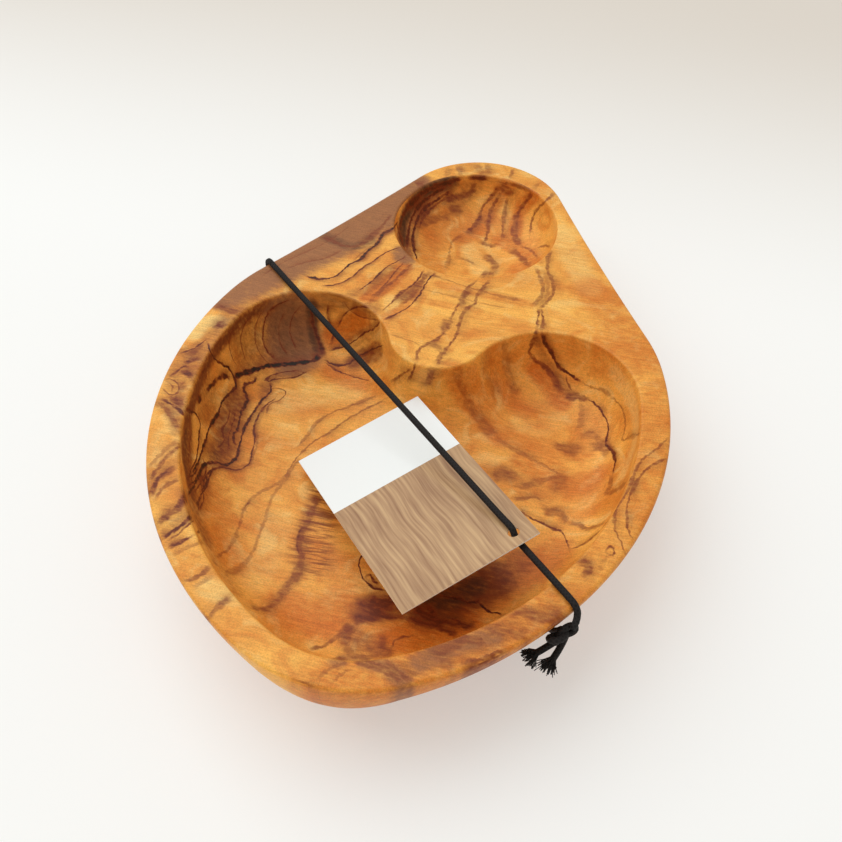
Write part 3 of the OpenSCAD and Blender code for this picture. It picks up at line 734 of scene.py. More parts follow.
@dataclass(frozen=True)
class WoodFigure:
    """The figure of the wood, with painted shade, shadow and highlight among its veins and bands, laid on
    the dish where the photograph shows it.
    """

    camera: PhotoCamera
    veins: tuple[Vein, ...] = (
        RIM_VEINS + TONGUE_PAIR + LOBE_PAIR + RAYS_AND_HEARTWOOD + WELL_STREAKS + WELL_SMUDGES + WELL_FAN
        + FAR_LOBE_VEINS + FLOOR_VEINS + TOE_VEINS + RIGHT_LOBE_VEINS + RIGHT_RIM_VEINS + LEFT_RIM_VEINS
        + FRONT_RIM_VEINS + HEAD_RIM_VEINS)
    bands: tuple[Band, ...] = RIM_BANDS + HOLLOW_BANDS + WELL_BANDS
    # Pixels between the points of a drawn line, and the longest step that still lies on the wood
    pitch_px: float = 4.0
    longest_step: float = 9.0
    # Veins nearer than this go in different families, and a vein shows up to the second distance beyond
    # its own width
    family_gap: float = 9.0
    vein_reach: float = 2.4
    # Share of the drawn width that a vein takes on the wood, and the width above which its edge ruffles less
    fineness: float = 0.85
    ruffle_width: float = 0.6
    # Cosine of the angle beyond which a face turns another way than the one drawn on
    least_turn: float = 0.3
    # Distance in vein widths where no vein is near
    far: float = 30.0
    # Length over which a vein's ends fade, and the share of its darkness that they keep
    fade: float = 2.0
    end_share: float = 0.15
    # Distances are kept this many times as far out as a vein shows, so that they run on past its edge
    margin: float = 1.4
    # A band's strength in its middle before it is cut to full strength, which widens its core
    core: float = 1.4
    # Shortest step that still has a direction
    least_step: float = 1e-6

    def lay(self, points: Sequence[Pixel], wood: BVHTree) -> list[Laid]:
        """Drops a drawn line on the wood.

        Args:
            points: Pixels of the photograph.
            wood: The dish's surface.

        Returns:
            Runs of points on the wood with the wood's directions there, parted where the line leaves it.
        """
        runs: list[list[tuple[Vector, Vector]]] = [[]]
        for pixel in smooth_path([Vector(p) for p in points], self.pitch_px):
            hit, facing = wood.ray_cast(Vector(self.camera.place), self.camera.ray(pixel))[:2]
            if hit is None or (runs[-1] and (hit - runs[-1][-1][0]).length > self.longest_step):
                runs.append([])
            if hit is not None:
                runs[-1].append((hit, facing))
        return [(np.array([p for p, _ in run]), np.array([n for _, n in run]))
                for run in runs if len(run) > 1]

    def measure(self, laid: Laid, places: np.ndarray, normals: np.ndarray,
                reach: float) -> tuple[np.ndarray, np.ndarray, np.ndarray]:
        """Measures how far places lie from a run of points, on faces that turn the same way.

        Args:
            laid: Points of the line and the wood's directions there.
            places: Points of the wood.
            normals: The wood's directions there.
            reach: Greatest distance of interest.

        Returns:
            The numbers of the places in reach, their signed distances, and their distances from the ends.
        """
        run, facing = laid
        near = np.all((places > run.min(0) - reach) & (places < run.max(0) + reach), axis=1)
        chosen = np.flatnonzero(near)
        start, way = run[:-1], np.diff(run, axis=0)
        length = np.linalg.norm(way, axis=1)
        ahead = way / np.maximum(length, self.least_step)[:, None]
        along = np.einsum("ijk,jk->ij", places[chosen, None] - start, ahead)
        foot = start + np.clip(along, 0, length)[..., None] * ahead
        apart = np.linalg.norm(places[chosen, None] - foot, axis=2)
        best = apart.argmin(1) if len(chosen) else np.zeros(0, int)
        row = np.arange(len(chosen))
        across = np.cross(normals[chosen], ahead[best])
        side = np.einsum("ij,ij->i", places[chosen] - foot[row, best], across)
        before = np.concatenate(([0], np.cumsum(length)))
        at = before[best] + np.clip(along[row, best], 0, length[best])
        # Colour drawn on a wall stays off the flat rim beside it, and the other way about
        same = np.einsum("ij,ij->i", normals[chosen], facing[best]) > self.least_turn
        apart = np.copysign(apart[row, best], side)
        return chosen[same], apart[same], np.minimum(at, before[-1] - at)[same]

    def families(self, runs: list[tuple[Vein, Laid]]) -> list[list[tuple[Vein, Laid]]]:
        """Sorts veins into families whose members keep apart, so each family fits in one attribute.

        Args:
            runs: Veins and their points on the wood.

        Returns:
            The families.
        """
        made: list[list[tuple[Vein, Laid]]] = []
        for vein, laid in runs:
            for family in made:
                apart = min(np.linalg.norm(laid[0][:, None] - other[0], axis=2).min() for _, other in family)
                if apart > self.family_gap:
                    family.append((vein, laid))
                    break
            else:
                made.append([(vein, laid)])
        return made

    def vein_fields(self, places: np.ndarray, normals: np.ndarray, wood: BVHTree) -> list[np.ndarray]:
        """Works out one field for each family of veins.

        Args:
            places: Points of the wood.
            normals: The wood's directions there.
            wood: The dish's surface.

        Returns:
            For each family, the signed distance in vein widths, the darkness and the share by which the
            edge ruffles, at every place.
        """
        runs = [(vein, run) for vein in self.veins for run in self.lay(vein.points, wood)]
        fields = []
        for family in self.families(runs):
            made = np.zeros((len(places), 3))
            made[:, 0] = self.far
            nearest = np.full(len(places), np.inf)
            for vein, run in family:
                reach = self.vein_reach + vein.width
                chosen, side, end = self.measure(run, places, normals, self.margin * reach)
                closer = np.abs(side) < nearest[chosen]
                chosen, side, end = chosen[closer], side[closer], end[closer]
                nearest[chosen] = np.abs(side)
                ends = vein.dark * np.clip(end / self.fade + self.end_share, 0, 1)
                made[chosen, 0] = side / (vein.width * self.fineness)
                made[chosen, 1] = ends * np.clip(2 - 2 * np.abs(side) / reach, 0, 1)
                made[chosen, 2] = min(1, math.sqrt(self.ruffle_width / vein.width))
            fields.append(made)
        return fields

    def tint_field(self, places: np.ndarray, normals: np.ndarray, wood: BVHTree) -> np.ndarray:
        """Works out the strength of every tint.

        Args:
            places: Points of the wood.
            normals: The wood's directions there.
            wood: The dish's surface.

        Returns:
            One column for each tint.
        """
        made = np.zeros((len(places), len(Tint)))
        for band in self.bands:
            for run in self.lay(band.points, wood):
                chosen, side, _ = self.measure(run, places, normals, band.width)
                share = np.clip(self.core * (1 - np.abs(side) / band.width), 0, 1)
                value = band.strength * share * share * (3 - 2 * share)
                column = made[:, band.tint.value]
                column[chosen] = np.maximum(column[chosen], value)
        return made


@dataclass(frozen=True)
class OliveWood:
    """Olive wood, sanded and oiled.

    The eye sees golden wood with soft orange and brown bands, thin nearly black growth lines, grey-brown
    heartwood and a fine silk of fibres, under a low satin sheen.
    """

    gold: str = "#FBB552"
    amber: str = "#E08A34"
    orange: str = "#D06E1E"
    brown: str = "#87421A"
    heart: str = "#A2683E"
    smoke: str = "#4A3020"
    pale: str = "#FACB78"
    umber: str = "#803616"
    vein: str = "#2C1A0D"
    roughness: float = 0.46
    specular: float = 0.25
    # Strength and depth of the relief of fibres and pores
    relief: float = 0.12
    relief_depth: float = 0.15
    # Heights between which painted shade deepens the gold towards amber lower down, as in the hollows, with
    # the share that it takes
    hollow_shade: Span = Span(34.0, 20.0, 0.0, 0.22)
    # Length, width and height of the fibres, the streaks, the ragged edges and the ribs of a curly patch
    fibre_size: Triple = (7.0, 0.5, 1.0)
    streak_size: Triple = (40.0, 12.0, 14.0)
    ragged_size: Triple = (3.0, 1.2, 1.6)
    rib_size: Triple = (9.0, 0.9, 1.2)
    # Size of the clouds that sway the grain, and how far they sway it
    cloud_size: float = 34.0
    sway: float = 6.0
    # Size of the mottling, of the veins' small wiggles and slow swelling, and of the pores
    mottle_size: float = 11.0
    mottle_swirl: float = 1.4
    wiggle_size: float = 1.6
    swell_size: float = 9.0
    pore_size: float = 0.4
    # Where the noises turn gold to amber and mottle it, tear a patch's edge and part a patch's ribs
    streaked: Span = Span(0.38, 0.72)
    mottled_orange: Span = Span(0.52, 0.68, 0.0, 0.5)
    mottled_pale: Span = Span(0.45, 0.32, 0.0, 0.5)
    torn: Span = Span(0.3, 0.7, -0.22, 0.22)
    patched: Span = Span(0.12, 0.95)
    ribbed: Span = Span(0.42, 0.62)
    # How far the wiggles bend a vein, where its line ends and where its stain rises and runs out beside it,
    # in vein widths
    bend: float = 2.6
    line: Span = Span(0.35, 1.2, 1.0, 0.0)
    lee: Span = Span(0.0, 1.0)
    lee_end: Span = Span(1.0, 6.0, 1.0, 0.0)
    # Where the slow noise swells a vein and lets its stain show, and the ragged one breaks it
    swollen: Span = Span(0.32, 0.68, 0.55, 1.7)
    spilt: Span = Span(0.62, 0.4)
    broken: Span = Span(0.3, 0.6, 0.6, 1.1)
    # How soon a vein turns brown, and where it turns nearly black
    stain_gain: float = 1.7
    burnt: Span = Span(0.48, 0.98)
    # How much fibres and pores darken and lighten the wood
    silk: Span = Span(0.3, 0.72, 0.86, 1.1)
    fleck: Span = Span(0.3, 0.6, 0.83, 1.06)

    def grain(self, tree: Tree, at: Socket, size: Triple, detail: Detail) -> Socket:
        """Adds a noise that is drawn out along the fibres, which run along X."""
        scaled = move(tree, "MULTIPLY", at, [1 / s for s in size])
        return noise(tree, scaled, 1.0, detail).outputs["Fac"]

    def ground(self, tree: Tree, at: Socket, height: Socket) -> Socket:
        """Mixes the plain wood.

        Args:
            tree: The material's node tree.
            at: The place in millimetres, swayed.
            height: The height in millimetres.

        Returns:
            Gold that streaks, and painted shade lower down, turn to amber, with soft mottling.
        """
        streaks = ramp(tree, self.grain(tree, at, self.streak_size, Detail.FINE), self.streaked)
        # Painted shade: the lower a place lies, as in the hollows, the more its gold turns to amber
        warm = compute(tree, "ADD", streaks, ramp(tree, height, self.hollow_shade), clamp=True)
        colour = blend(tree, warm, self.gold, self.amber)
        cloud = noise(tree, at, self.mottle_size, Detail.RAGGED, self.mottle_swirl).outputs["Fac"]
        for span, code in ((self.mottled_orange, self.orange), (self.mottled_pale, self.pale)):
            colour = blend(tree, ramp(tree, cloud, span), colour, code)
        return colour

    def patches(self, tree: Tree, at: Socket, ragged: Socket, colour: Socket) -> Socket:
        """Lays the figure's soft colours, painted shade and highlights among them, on the wood, from the
        dish's tint attributes.

        Args:
            tree: The material's node tree.
            at: The place in millimetres, swayed.
            ragged: Noise that tears the edges.
            colour: The plain wood.

        Returns:
            The wood with its patches.
        """
        strengths: list[Socket] = []
        for name in ("tint_warm", "tint_dark"):
            strengths += split(tree, add_node(tree, "Attribute", attribute_name=name).outputs["Vector"])
        tear = ramp(tree, ragged, self.torn)
        layers = ((PALE, self.pale), (ORANGE, self.orange), (BROWN, self.brown), (HEART, self.heart),
                  (SMOKE, self.smoke))
        for tint, code in layers:
            # The noise tears the patch's edge but leaves bare wood bare
            strength = strengths[tint.value]
            torn = compute(tree, "MULTIPLY_ADD", tear, strength, strength)
            colour = blend(tree, ramp(tree, torn, self.patched, "SMOOTHSTEP"), colour, code)
        ribs = ramp(tree, self.grain(tree, at, self.rib_size, Detail.USUAL), self.ribbed)
        return blend(tree, compute(tree, "MULTIPLY", strengths[RIBBED.value], ribs), colour, self.brown)

    def lines(self, tree: Tree, families: int, wiggle: Socket, swell: Socket) -> tuple[Socket, Socket]:
        """Adds the growth lines from the dish's vein attributes.

        Args:
            tree: The material's node tree.
            families: How many families of veins the dish carries.
            wiggle: Small noise about zero that bends the lines.
            swell: Noise about one that thickens and thins them.

        Returns:
            The dark lines, and the soft stain beside them.
        """
        dark = stain = None
        for k in range(families):
            vein = add_node(tree, "Attribute", attribute_name=f"vein_{k}").outputs["Vector"]
            apart, depth, ruffle = split(tree, vein)
            bent = compute(tree, "MULTIPLY_ADD", compute(tree, "MULTIPLY", wiggle, ruffle), self.bend, apart)
            off = compute(tree, "MULTIPLY", compute(tree, "ABSOLUTE", bent), swell)
            shown = compute(tree, "MULTIPLY", ramp(tree, off, self.line, "SMOOTHSTEP"), depth)
            # One side of a vein is sharp, and on the other its stain runs out slowly
            lee = compute(tree, "MULTIPLY", ramp(tree, bent, self.lee), ramp(tree, bent, self.lee_end))
            soft = compute(tree, "MULTIPLY", lee, depth)
            dark = shown if dark is None else compute(tree, "MAXIMUM", dark, shown)
            stain = soft if stain is None else compute(tree, "MAXIMUM", stain, soft)
        return dark, stain

    def growth(self, tree: Tree, in_mm: Socket, ragged: Socket, families: int, colour: Socket) -> Socket:
        """Draws the growth lines on the wood.

        Args:
            tree: The material's node tree.
            in_mm: The place in millimetres.
            ragged: Noise that breaks the lines.
            families: How many families of veins the dish carries.
            colour: The wood with its patches.

        Returns:
            The wood with its lines.
        """
        small = noise(tree, in_mm, self.wiggle_size, Detail.USUAL).outputs["Fac"]
        slow = noise(tree, in_mm, self.swell_size, Detail.SOFT).outputs["Fac"]
        wiggle = compute(tree, "SUBTRACT", small, HALF)
        dark, stain = self.lines(tree, families, wiggle, ramp(tree, slow, self.swollen))
        spilt = compute(tree, "MULTIPLY", stain, ramp(tree, slow, self.spilt))
        colour = blend(tree, spilt, colour, self.brown)
        inked = compute(tree, "MULTIPLY", dark, ramp(tree, ragged, self.broken), clamp=True)
        # A weak vein is brown, and only a strong one turns nearly black
        stained = compute(tree, "MULTIPLY", inked, self.stain_gain, clamp=True)
        colour = blend(tree, stained, colour, self.umber)
        return blend(tree, ramp(tree, inked, self.burnt), colour, self.vein)

    def build(self, families: int) -> Material:
        """Builds the material.

        Args:
            families: How many families of veins the dish carries.

        Returns:
            The finish.
        """
        material, tree, shader = new_material("oiled_olive_wood", self.roughness, self.specular)
        in_mm = move(tree, "MULTIPLY", add_node(tree, "TexCoord").outputs["Object"], (1 / MM,) * 3)
        clouds = noise(tree, in_mm, self.cloud_size, Detail.SOFT).outputs["Color"]
        at = move(tree, "MULTIPLY_ADD", clouds, (self.sway,) * 3, in_mm)
        fibre = self.grain(tree, at, self.fibre_size, Detail.FINE)
        ragged = self.grain(tree, at, self.ragged_size, Detail.RAGGED)
        pores = noise(tree, in_mm, self.pore_size, Detail.SOFT).outputs["Fac"]
        colour = self.ground(tree, at, split(tree, in_mm)[2])
        colour = self.patches(tree, at, ragged, colour)
        colour = self.growth(tree, in_mm, ragged, families, colour)
        sheen = compute(tree, "MULTIPLY", ramp(tree, fibre, self.silk), ramp(tree, pores, self.fleck))
        colour = blend(tree, 1.0, colour, sheen, "MULTIPLY")
        tree.links.new(colour, shader.inputs["Base Color"])
        emboss(tree, shader, compute(tree, "ADD", fibre, pores), self.relief, self.relief_depth)
        return material


@dataclass(frozen=True)
class Arc:
    """One arc of an outline, with bulge 1 outwards and -1 inwards."""

    centre: Vector
    radius: float
    bulge: int = 1

    def touch(self, other: Arc) -> Vector:
        """Finds the point where this arc runs into the next one.

        Args:
            other: The next arc.

        Returns:
            The point in plan.
        """
        way = (other.centre - self.centre).normalized()
        if self.bulge != other.bulge or self.radius > other.radius:
            return self.centre + self.radius * way
        return other.centre - other.radius * way

    def set_in(self, inset: float) -> Arc:
        """Gives the arc set in from the outline."""
        return Arc(self.centre, self.radius - self.bulge * inset, self.bulge)


class Rim(Enum):
    """Edges of the flat rim, with the number that their points carry."""

    OUTER = 1
    HOLLOW = 2
    WELL = 3


@dataclass
class Dish:
    """The carved dish, in millimetres and degrees, with the sizes of its solid."""

    # The outline
    length: float = 221.0
    width: float = 153.0
    head_r: float = 30.0
    waist_r: float = 1200.0
    shoulder_r: float = 57.0
    shoulder_turn: float = 19.0
    flank_r: float = 103.0
    toe_r: float = 45.0
    toe_x: float = 0.8
    # The outer wall, from the rim down to the base
    base_z: float = 1.9
    height: float = 33.0
    base_inset: float = 24.0
    base_run: float = 10.0
    side_drop: float = 4.0
    toe_drop: float = 17.0
    toe_focus: float = 6.0
    rim_edge_r: float = 1.2
    # The hollow, and its wall and edge
    side_rim: float = 9.5
    hollow_depth: float = 21.6
    toe_rim: float = 8.6
    hollow_toe_r: float = 33.6
    hollow_flank_r: float = 94.5
    lobe_turn: float = 11.4
    tongue_reach: float = 25.2
    tongue_r: float = 15.8
    hollow_x: float = 0.5
    wall_lean: float = 0.8
    wall_steep: float = 13.0
    floor_turn: float = 4.0
    floor_inset: float = 18.0
    inner_edge_r: float = 0.8
    # The well
    well_r: float = 28.4
    well_rim: float = 9.0
    well_depth: float = 16.0
    well_steep: float = 11.0
    well_turn: float = 5.0
    # Steps of the outlines, the strip of flat rim between them and the rounded edges, cells of the flat
    # faces, and the distance within which a cut takes a vertex that is there
    outline_step: float = 2.2
    border: float = 0.3
    cell: float = 1.15
    snap: float = 0.023
    # Rings of the edges and walls, and points by which the well's curve is read
    edge_rings: int = 4
    outer_rings: int = 18
    hollow_rings: int = 24
    well_rings: int = 18
    well_points: int = 100
    # Share of the well's curve that its wall takes, before its floor
    well_wall_share: float = 0.62
    # Shares of the height below which the rim's veins and tints run out down the outer wall
    vein_share: float = 0.8
    tint_share: float = 0.25
    # The mesh's layers: each wall point's outward way, its place on the outline and its edge of the rim
    layers: dict[str, Any] = field(default_factory=dict)

    @property
    def rim_z(self) -> float:
        """Height of the rim."""
        return self.base_z + self.height

    def dish_arcs(self) -> list[Arc]:
        """Works out the outline of the dish.

        Returns:
            Its arcs, anticlockwise from the toe.
        """
        toe = Vector((self.toe_x, self.toe_r - self.length / 2))
        head = Vector((0, self.length / 2 - self.head_r))
        spin = math.radians(self.shoulder_turn)
        sides = {}
        for side in (1, -1):
            x = side * (self.width / 2 - self.flank_r)
            rise = math.sqrt((self.flank_r - self.toe_r) ** 2 - (x - self.toe_x) ** 2)
            flank = Vector((x, toe.y + rise))
            way = Vector((side * math.cos(spin), math.sin(spin)))
            shoulder = flank + (self.flank_r - self.shoulder_r) * way
            waist = self.meet(shoulder, self.shoulder_r + self.waist_r,
                              head, self.head_r + self.waist_r, -side)
            sides[side] = (Arc(flank, self.flank_r), Arc(shoulder, self.shoulder_r),
                           Arc(waist, self.waist_r, -1))
        return [Arc(toe, self.toe_r), *sides[1], Arc(head, self.head_r), *reversed(sides[-1])]

    @staticmethod
    def meet(a: Vector, ra: float, b: Vector, rb: float, side: int) -> Vector:
        """Finds a point where two circles meet.

        Args:
            a: Middle of the first circle.
            ra: Its radius.
            b: Middle of the second circle.
            rb: Its radius.
            side: 1 for the point on the left of the way from a to b, -1 for the one on the right.

        Returns:
            The point.
        """
        apart = (b - a).length
        way = (b - a) / apart
        x = (apart * apart + ra * ra - rb * rb) / (2 * apart)
        return a + x * way + side * math.sqrt(ra * ra - x * x) * Vector((-way.y, way.x))

    def hollow_arcs(self) -> list[Arc]:
        """Works out the outline of the hollow, with lobes that touch its long sides and the tongue.

        Returns:
            Its arcs, anticlockwise from the toe.
        """
        toe = Vector((self.hollow_x, self.toe_rim + self.hollow_toe_r - self.length / 2))
        flank_x = self.width / 2 - self.side_rim - self.hollow_flank_r
        cos, sin = math.cos(math.radians(self.lobe_turn)), math.sin(math.radians(self.lobe_turn))
        span = flank_x + self.hollow_flank_r * cos
        half_b = span * cos + self.tongue_reach
        c = span ** 2 + self.tongue_reach ** 2 - 2 * self.tongue_reach * self.tongue_r
        lobe_r = (half_b - math.sqrt(half_b ** 2 - cos ** 2 * c)) / cos ** 2
        rise = math.sqrt((self.hollow_flank_r - self.hollow_toe_r) ** 2 - flank_x ** 2)
        sides = {}
        for side in (1, -1):
            flank = toe + Vector((side * flank_x, rise))
            lobe = flank + (self.hollow_flank_r - lobe_r) * Vector((side * cos, sin))
            sides[side] = (Arc(flank, self.hollow_flank_r), Arc(lobe, lobe_r))
        tip = sides[1][1].centre.y + lobe_r - self.tongue_reach
        tongue = Arc(Vector((self.hollow_x, tip + self.tongue_r)), self.tongue_r, -1)
        return [Arc(toe, self.hollow_toe_r), *sides[1], tongue, *reversed(sides[-1])]

    @property
    def well_centre(self) -> Vector:
        """Middle of the well in plan."""
        return Vector((0, self.length / 2 - self.well_rim - self.well_r))

    def trace(self, bm: BMesh, arcs: Sequence[Arc], edge: Rim) -> list[BMEdge]:
        """Spins one vertex from arc to arc round a closed outline at the rim's height.

        Args:
            bm: The mesh.
            arcs: The outline.
            edge: Which edge of the rim it is.

        Returns:
            The outline's edges.
        """
        start = arcs[-1].touch(arcs[0])
        first = last = bm.verts.new((*start, self.rim_z))
        chain: list[BMVert] = [first]
        for i, arc in enumerate(arcs):
            begin = arcs[i - 1].touch(arc) - arc.centre
            end = arc.touch(arcs[(i + 1) % len(arcs)]) - arc.centre
            turn = arc.bulge * ((math.atan2(*end.yx) - math.atan2(*begin.yx)) * arc.bulge % math.tau)
            steps = max(2, math.ceil(abs(turn) * arc.radius / self.outline_step))
            before = len(bm.verts)
            bmesh.ops.spin(bm, geom=[last], cent=(*arc.centre, self.rim_z), axis=UP, angle=turn, steps=steps)
            bm.verts.ensure_lookup_table()
            made = bm.verts[before:]
            for vert in made:
                way = (vert.co.xy - arc.centre) * arc.bulge / arc.radius
                vert[self.layers["outward"]] = (*way, 0)
            chain += made
            last = made[-1]
        first[self.layers["outward"]] = last[self.layers["outward"]]
        bmesh.ops.weld_verts(bm, targetmap={last: first})
        for vert in chain[:-1]:
            vert[self.layers["edge"]] = edge.value
        return list({e for vert in chain[:-1] for e in vert.link_edges})

    def cut_cells(self, bm: BMesh, faces: Sequence[BMFace]) -> list[Any]:
        """Cuts flat faces into small cells, which carry the figure's points.

        Args:
            bm: The mesh.
            faces: The faces.

        Returns:
            The faces, edges and vertices that come of them.
        """
        parts = list({*faces, *(e for f in faces for e in f.edges), *(v for f in faces for v in f.verts)})
        for axis in range(2):
            spread = [p.co[axis] for p in parts if isinstance(p, BMVert)]
            low, high = min(spread), max(spread)
            count = math.ceil((high - low) / self.cell)
            for k in range(1, count):
                place, way = Vector(), Vector()
                place[axis] = low + (high - low) * k / count
                way[axis] = 1
                parts = bmesh.ops.bisect_plane(
                    bm, geom=parts, dist=self.snap, plane_co=place, plane_no=way)["geom"]
        return parts

    def extrude(self, bm: BMesh, edges: Sequence[BMEdge], place: Callable[[BMVert], Vector]) -> list[BMEdge]:
        """Extrudes a closed ring of edges by one step.

        Args:
            bm: The mesh.
            edges: The ring.
            place: Gives each new vertex its place.

        Returns:
            The new ring.
        """
        made = bmesh.ops.extrude_edge_only(bm, edges=edges)["geom"]
        ring = {g for g in made if isinstance(g, BMVert)}
        for vert in ring:
            vert.co = place(vert)
        return [g for g in made if isinstance(g, BMEdge) and ring.issuperset(g.verts)]

    def fill(self, bm: BMesh, edges: Sequence[BMEdge]) -> list[BMFace]:
        """Fills rings of edges with flat faces."""
        made = bmesh.ops.triangle_fill(bm, use_beauty=True, use_dissolve=False, edges=edges, normal=UP)
        return [g for g in made["geom"] if isinstance(g, BMFace)]

    def foot_at(self, vert: BMVert, inset: float, depth: float) -> Vector:
        """Gives the place set in from a vertex's outline, at a depth below the rim."""
        foot, way = vert[self.layers["foot"]], vert[self.layers["outward"]].normalized()
        return Vector((foot.x - inset * way.x, foot.y - inset * way.y, self.rim_z - depth))

    def wall_curve(self, way: Vector) -> tuple[Pair, ...]:
        """Works out the outer wall's section.

        Args:
            way: Outward way of the outline in plan.

        Returns:
            Points of a cubic curve, as distance in from the outline and depth below the rim.
        """
        focus = max(0.0, -way.y) ** self.toe_focus
        drop = self.side_drop + (self.toe_drop - self.side_drop) * focus
        return ((0, self.rim_edge_r), (0, self.rim_edge_r + drop),
                (self.base_inset - self.base_run, self.height), (self.base_inset, self.height))

    def rounded(self, bm: BMesh, edges: list[BMEdge], radius: float, outside: bool) -> list[BMEdge]:
        """Rounds an edge of the rim.

        Args:
            bm: The mesh.
            edges: The edge's ring on the flat rim.
            radius: The rounding's radius.
            outside: Whether it is the dish's outer edge.

        Returns:
            The ring where the wall starts.
        """
        sign = 1 if outside else -1
        for k in range(self.edge_rings + 1):
            a = math.pi / 2 * (1 - k / self.edge_rings)
            inset, depth = sign * radius * (1 - math.cos(a)), radius * (1 - math.sin(a))
            edges = self.extrude(bm, edges, lambda v: self.foot_at(v, inset, depth))
        return edges

    def outer_wall(self, bm: BMesh, edges: list[BMEdge]) -> None:
        """Makes the outer wall and the base.

        Args:
            bm: The mesh.
            edges: The outer edge's ring on the flat rim.
        """
        edges = self.rounded(bm, edges, self.rim_edge_r, True)
        for k in range(1, self.outer_rings + 1):
            t = k / self.outer_rings
            edges = self.extrude(bm, edges, lambda v: self.foot_at(
                v, *bezier(self.wall_curve(v[self.layers["outward"]].normalized()), t)))
        self.fill(bm, edges)

    def basin(self, bm: BMesh, edges: list[BMEdge], curve: Sequence[Pair], rings: int,
              share: float) -> list[Any]:
        """Makes a wall that runs in and down from the rim, and the flat floor inside it.

        Args:
            bm: The mesh.
            edges: The edge's ring on the flat rim.
            curve: The section, as distance in from the outline and depth below the rim.
            rings: Steps of the wall.
            share: Share of the section that the wall takes.

        Returns:
            The floor's faces, edges and vertices.
        """
        edges = self.rounded(bm, edges, self.inner_edge_r, False)
        for k in range(1, rings + 1):
            inset, depth = bezier(curve, share * k / rings)
            edges = self.extrude(bm, edges, lambda v: self.foot_at(v, inset, depth))
        return self.cut_cells(bm, self.fill(bm, edges))

    def hollow(self, bm: BMesh, edges: list[BMEdge]) -> None:
        """Makes the hollow's wall and floor."""
        curve = ((0, self.inner_edge_r), (self.wall_lean, self.wall_steep),
                 (self.floor_turn, self.hollow_depth), (self.floor_inset, self.hollow_depth))
        self.basin(bm, edges, curve, self.hollow_rings, 1.0)

    def well(self, bm: BMesh, edges: list[BMEdge]) -> None:
        """Makes the well as a wall of rings and a floor that dips to its middle.

        Args:
            bm: The mesh.
            edges: The edge's ring on the flat rim.
        """
        curve = ((0, self.inner_edge_r), (self.wall_lean, self.well_steep),
                 (self.well_turn, self.well_depth), (self.well_r, self.well_depth))
        floor = self.basin(bm, edges, curve, self.well_rings, self.well_wall_share)
        dip = [bezier(curve, k / self.well_points) for k in range(self.well_points + 1)]
        for vert in (part for part in floor if isinstance(part, BMVert)):
            inset = self.well_r - (vert.co.xy - self.well_centre).length
            vert.co.z = self.rim_z - np.interp(inset, *zip(*dip))

    def model(self) -> BMesh:
        """Models the dish from its flat rim, with the walls drawn down from the rim's three edges.

        Returns:
            The closed mesh.
        """
        bm = bmesh.new()
        self.layers = {"outward": bm.verts.layers.float_vector.new("outward"),
                       "foot": bm.verts.layers.float_vector.new("foot"),
                       "edge": bm.verts.layers.float.new("edge")}
        insets = {Rim.OUTER: self.rim_edge_r + self.border, Rim.HOLLOW: -self.inner_edge_r - self.border,
                  Rim.WELL: -self.inner_edge_r - self.border}
        edges = self.trace(bm, [a.set_in(insets[Rim.OUTER]) for a in self.dish_arcs()], Rim.OUTER)
        edges += self.trace(bm, [a.set_in(insets[Rim.HOLLOW]) for a in self.hollow_arcs()], Rim.HOLLOW)
        edges += self.circle(bm, self.well_r - insets[Rim.WELL], Rim.WELL)
        self.cut_cells(bm, self.fill(bm, edges))
        rings: dict[Rim, list[BMEdge]] = {edge: [] for edge in Rim}
        for e in [e for e in bm.edges if e.is_boundary]:
            rings[Rim(round(e.verts[0][self.layers["edge"]]))].append(e)
        for edge, ring in rings.items():
            for vert in {v for e in ring for v in e.verts}:
                way = vert[self.layers["outward"]].normalized()
                vert[self.layers["foot"]] = vert.co + insets[edge] * way
        self.outer_wall(bm, rings[Rim.OUTER])
        self.hollow(bm, rings[Rim.HOLLOW])
        self.well(bm, rings[Rim.WELL])
        bmesh.ops.recalc_face_normals(bm, faces=bm.faces)
        bm.normal_update()
        return bm

    def circle(self, bm: BMesh, radius: float, edge: Rim) -> list[BMEdge]:
        """Draws the well's round edge at the rim's height.

        Args:
            bm: The mesh.
            radius: The circle's radius.
            edge: Which edge of the rim it is.

        Returns:
            The circle's edges.
        """
        place = Matrix.Translation((*self.well_centre, self.rim_z))
        made = bmesh.ops.create_circle(
            bm, segments=round(math.tau * radius / self.outline_step), radius=radius, matrix=place)
        for vert in made["verts"]:
            vert[self.layers["outward"]] = (vert.co - place.translation) / radius
            vert[self.layers["edge"]] = edge.value
        return list({e for v in made["verts"] for e in v.link_edges})

    def build(self, figure: WoodFigure, finish: OliveWood) -> None:
        """Builds the dish with its figure.

        Args:
            figure: The wood's figure.
            finish: The wood.
        """
        bm = self.model()
        wood = BVHTree.FromBMesh(bm)
        places = np.array([v.co for v in bm.verts])
        normals = np.array([v.normal for v in bm.verts])
        wall_top = self.rim_z - self.rim_edge_r / 2
        outside = np.array([v[self.layers["edge"]] == Rim.OUTER.value and v.co.z < wall_top
                            for v in bm.verts])
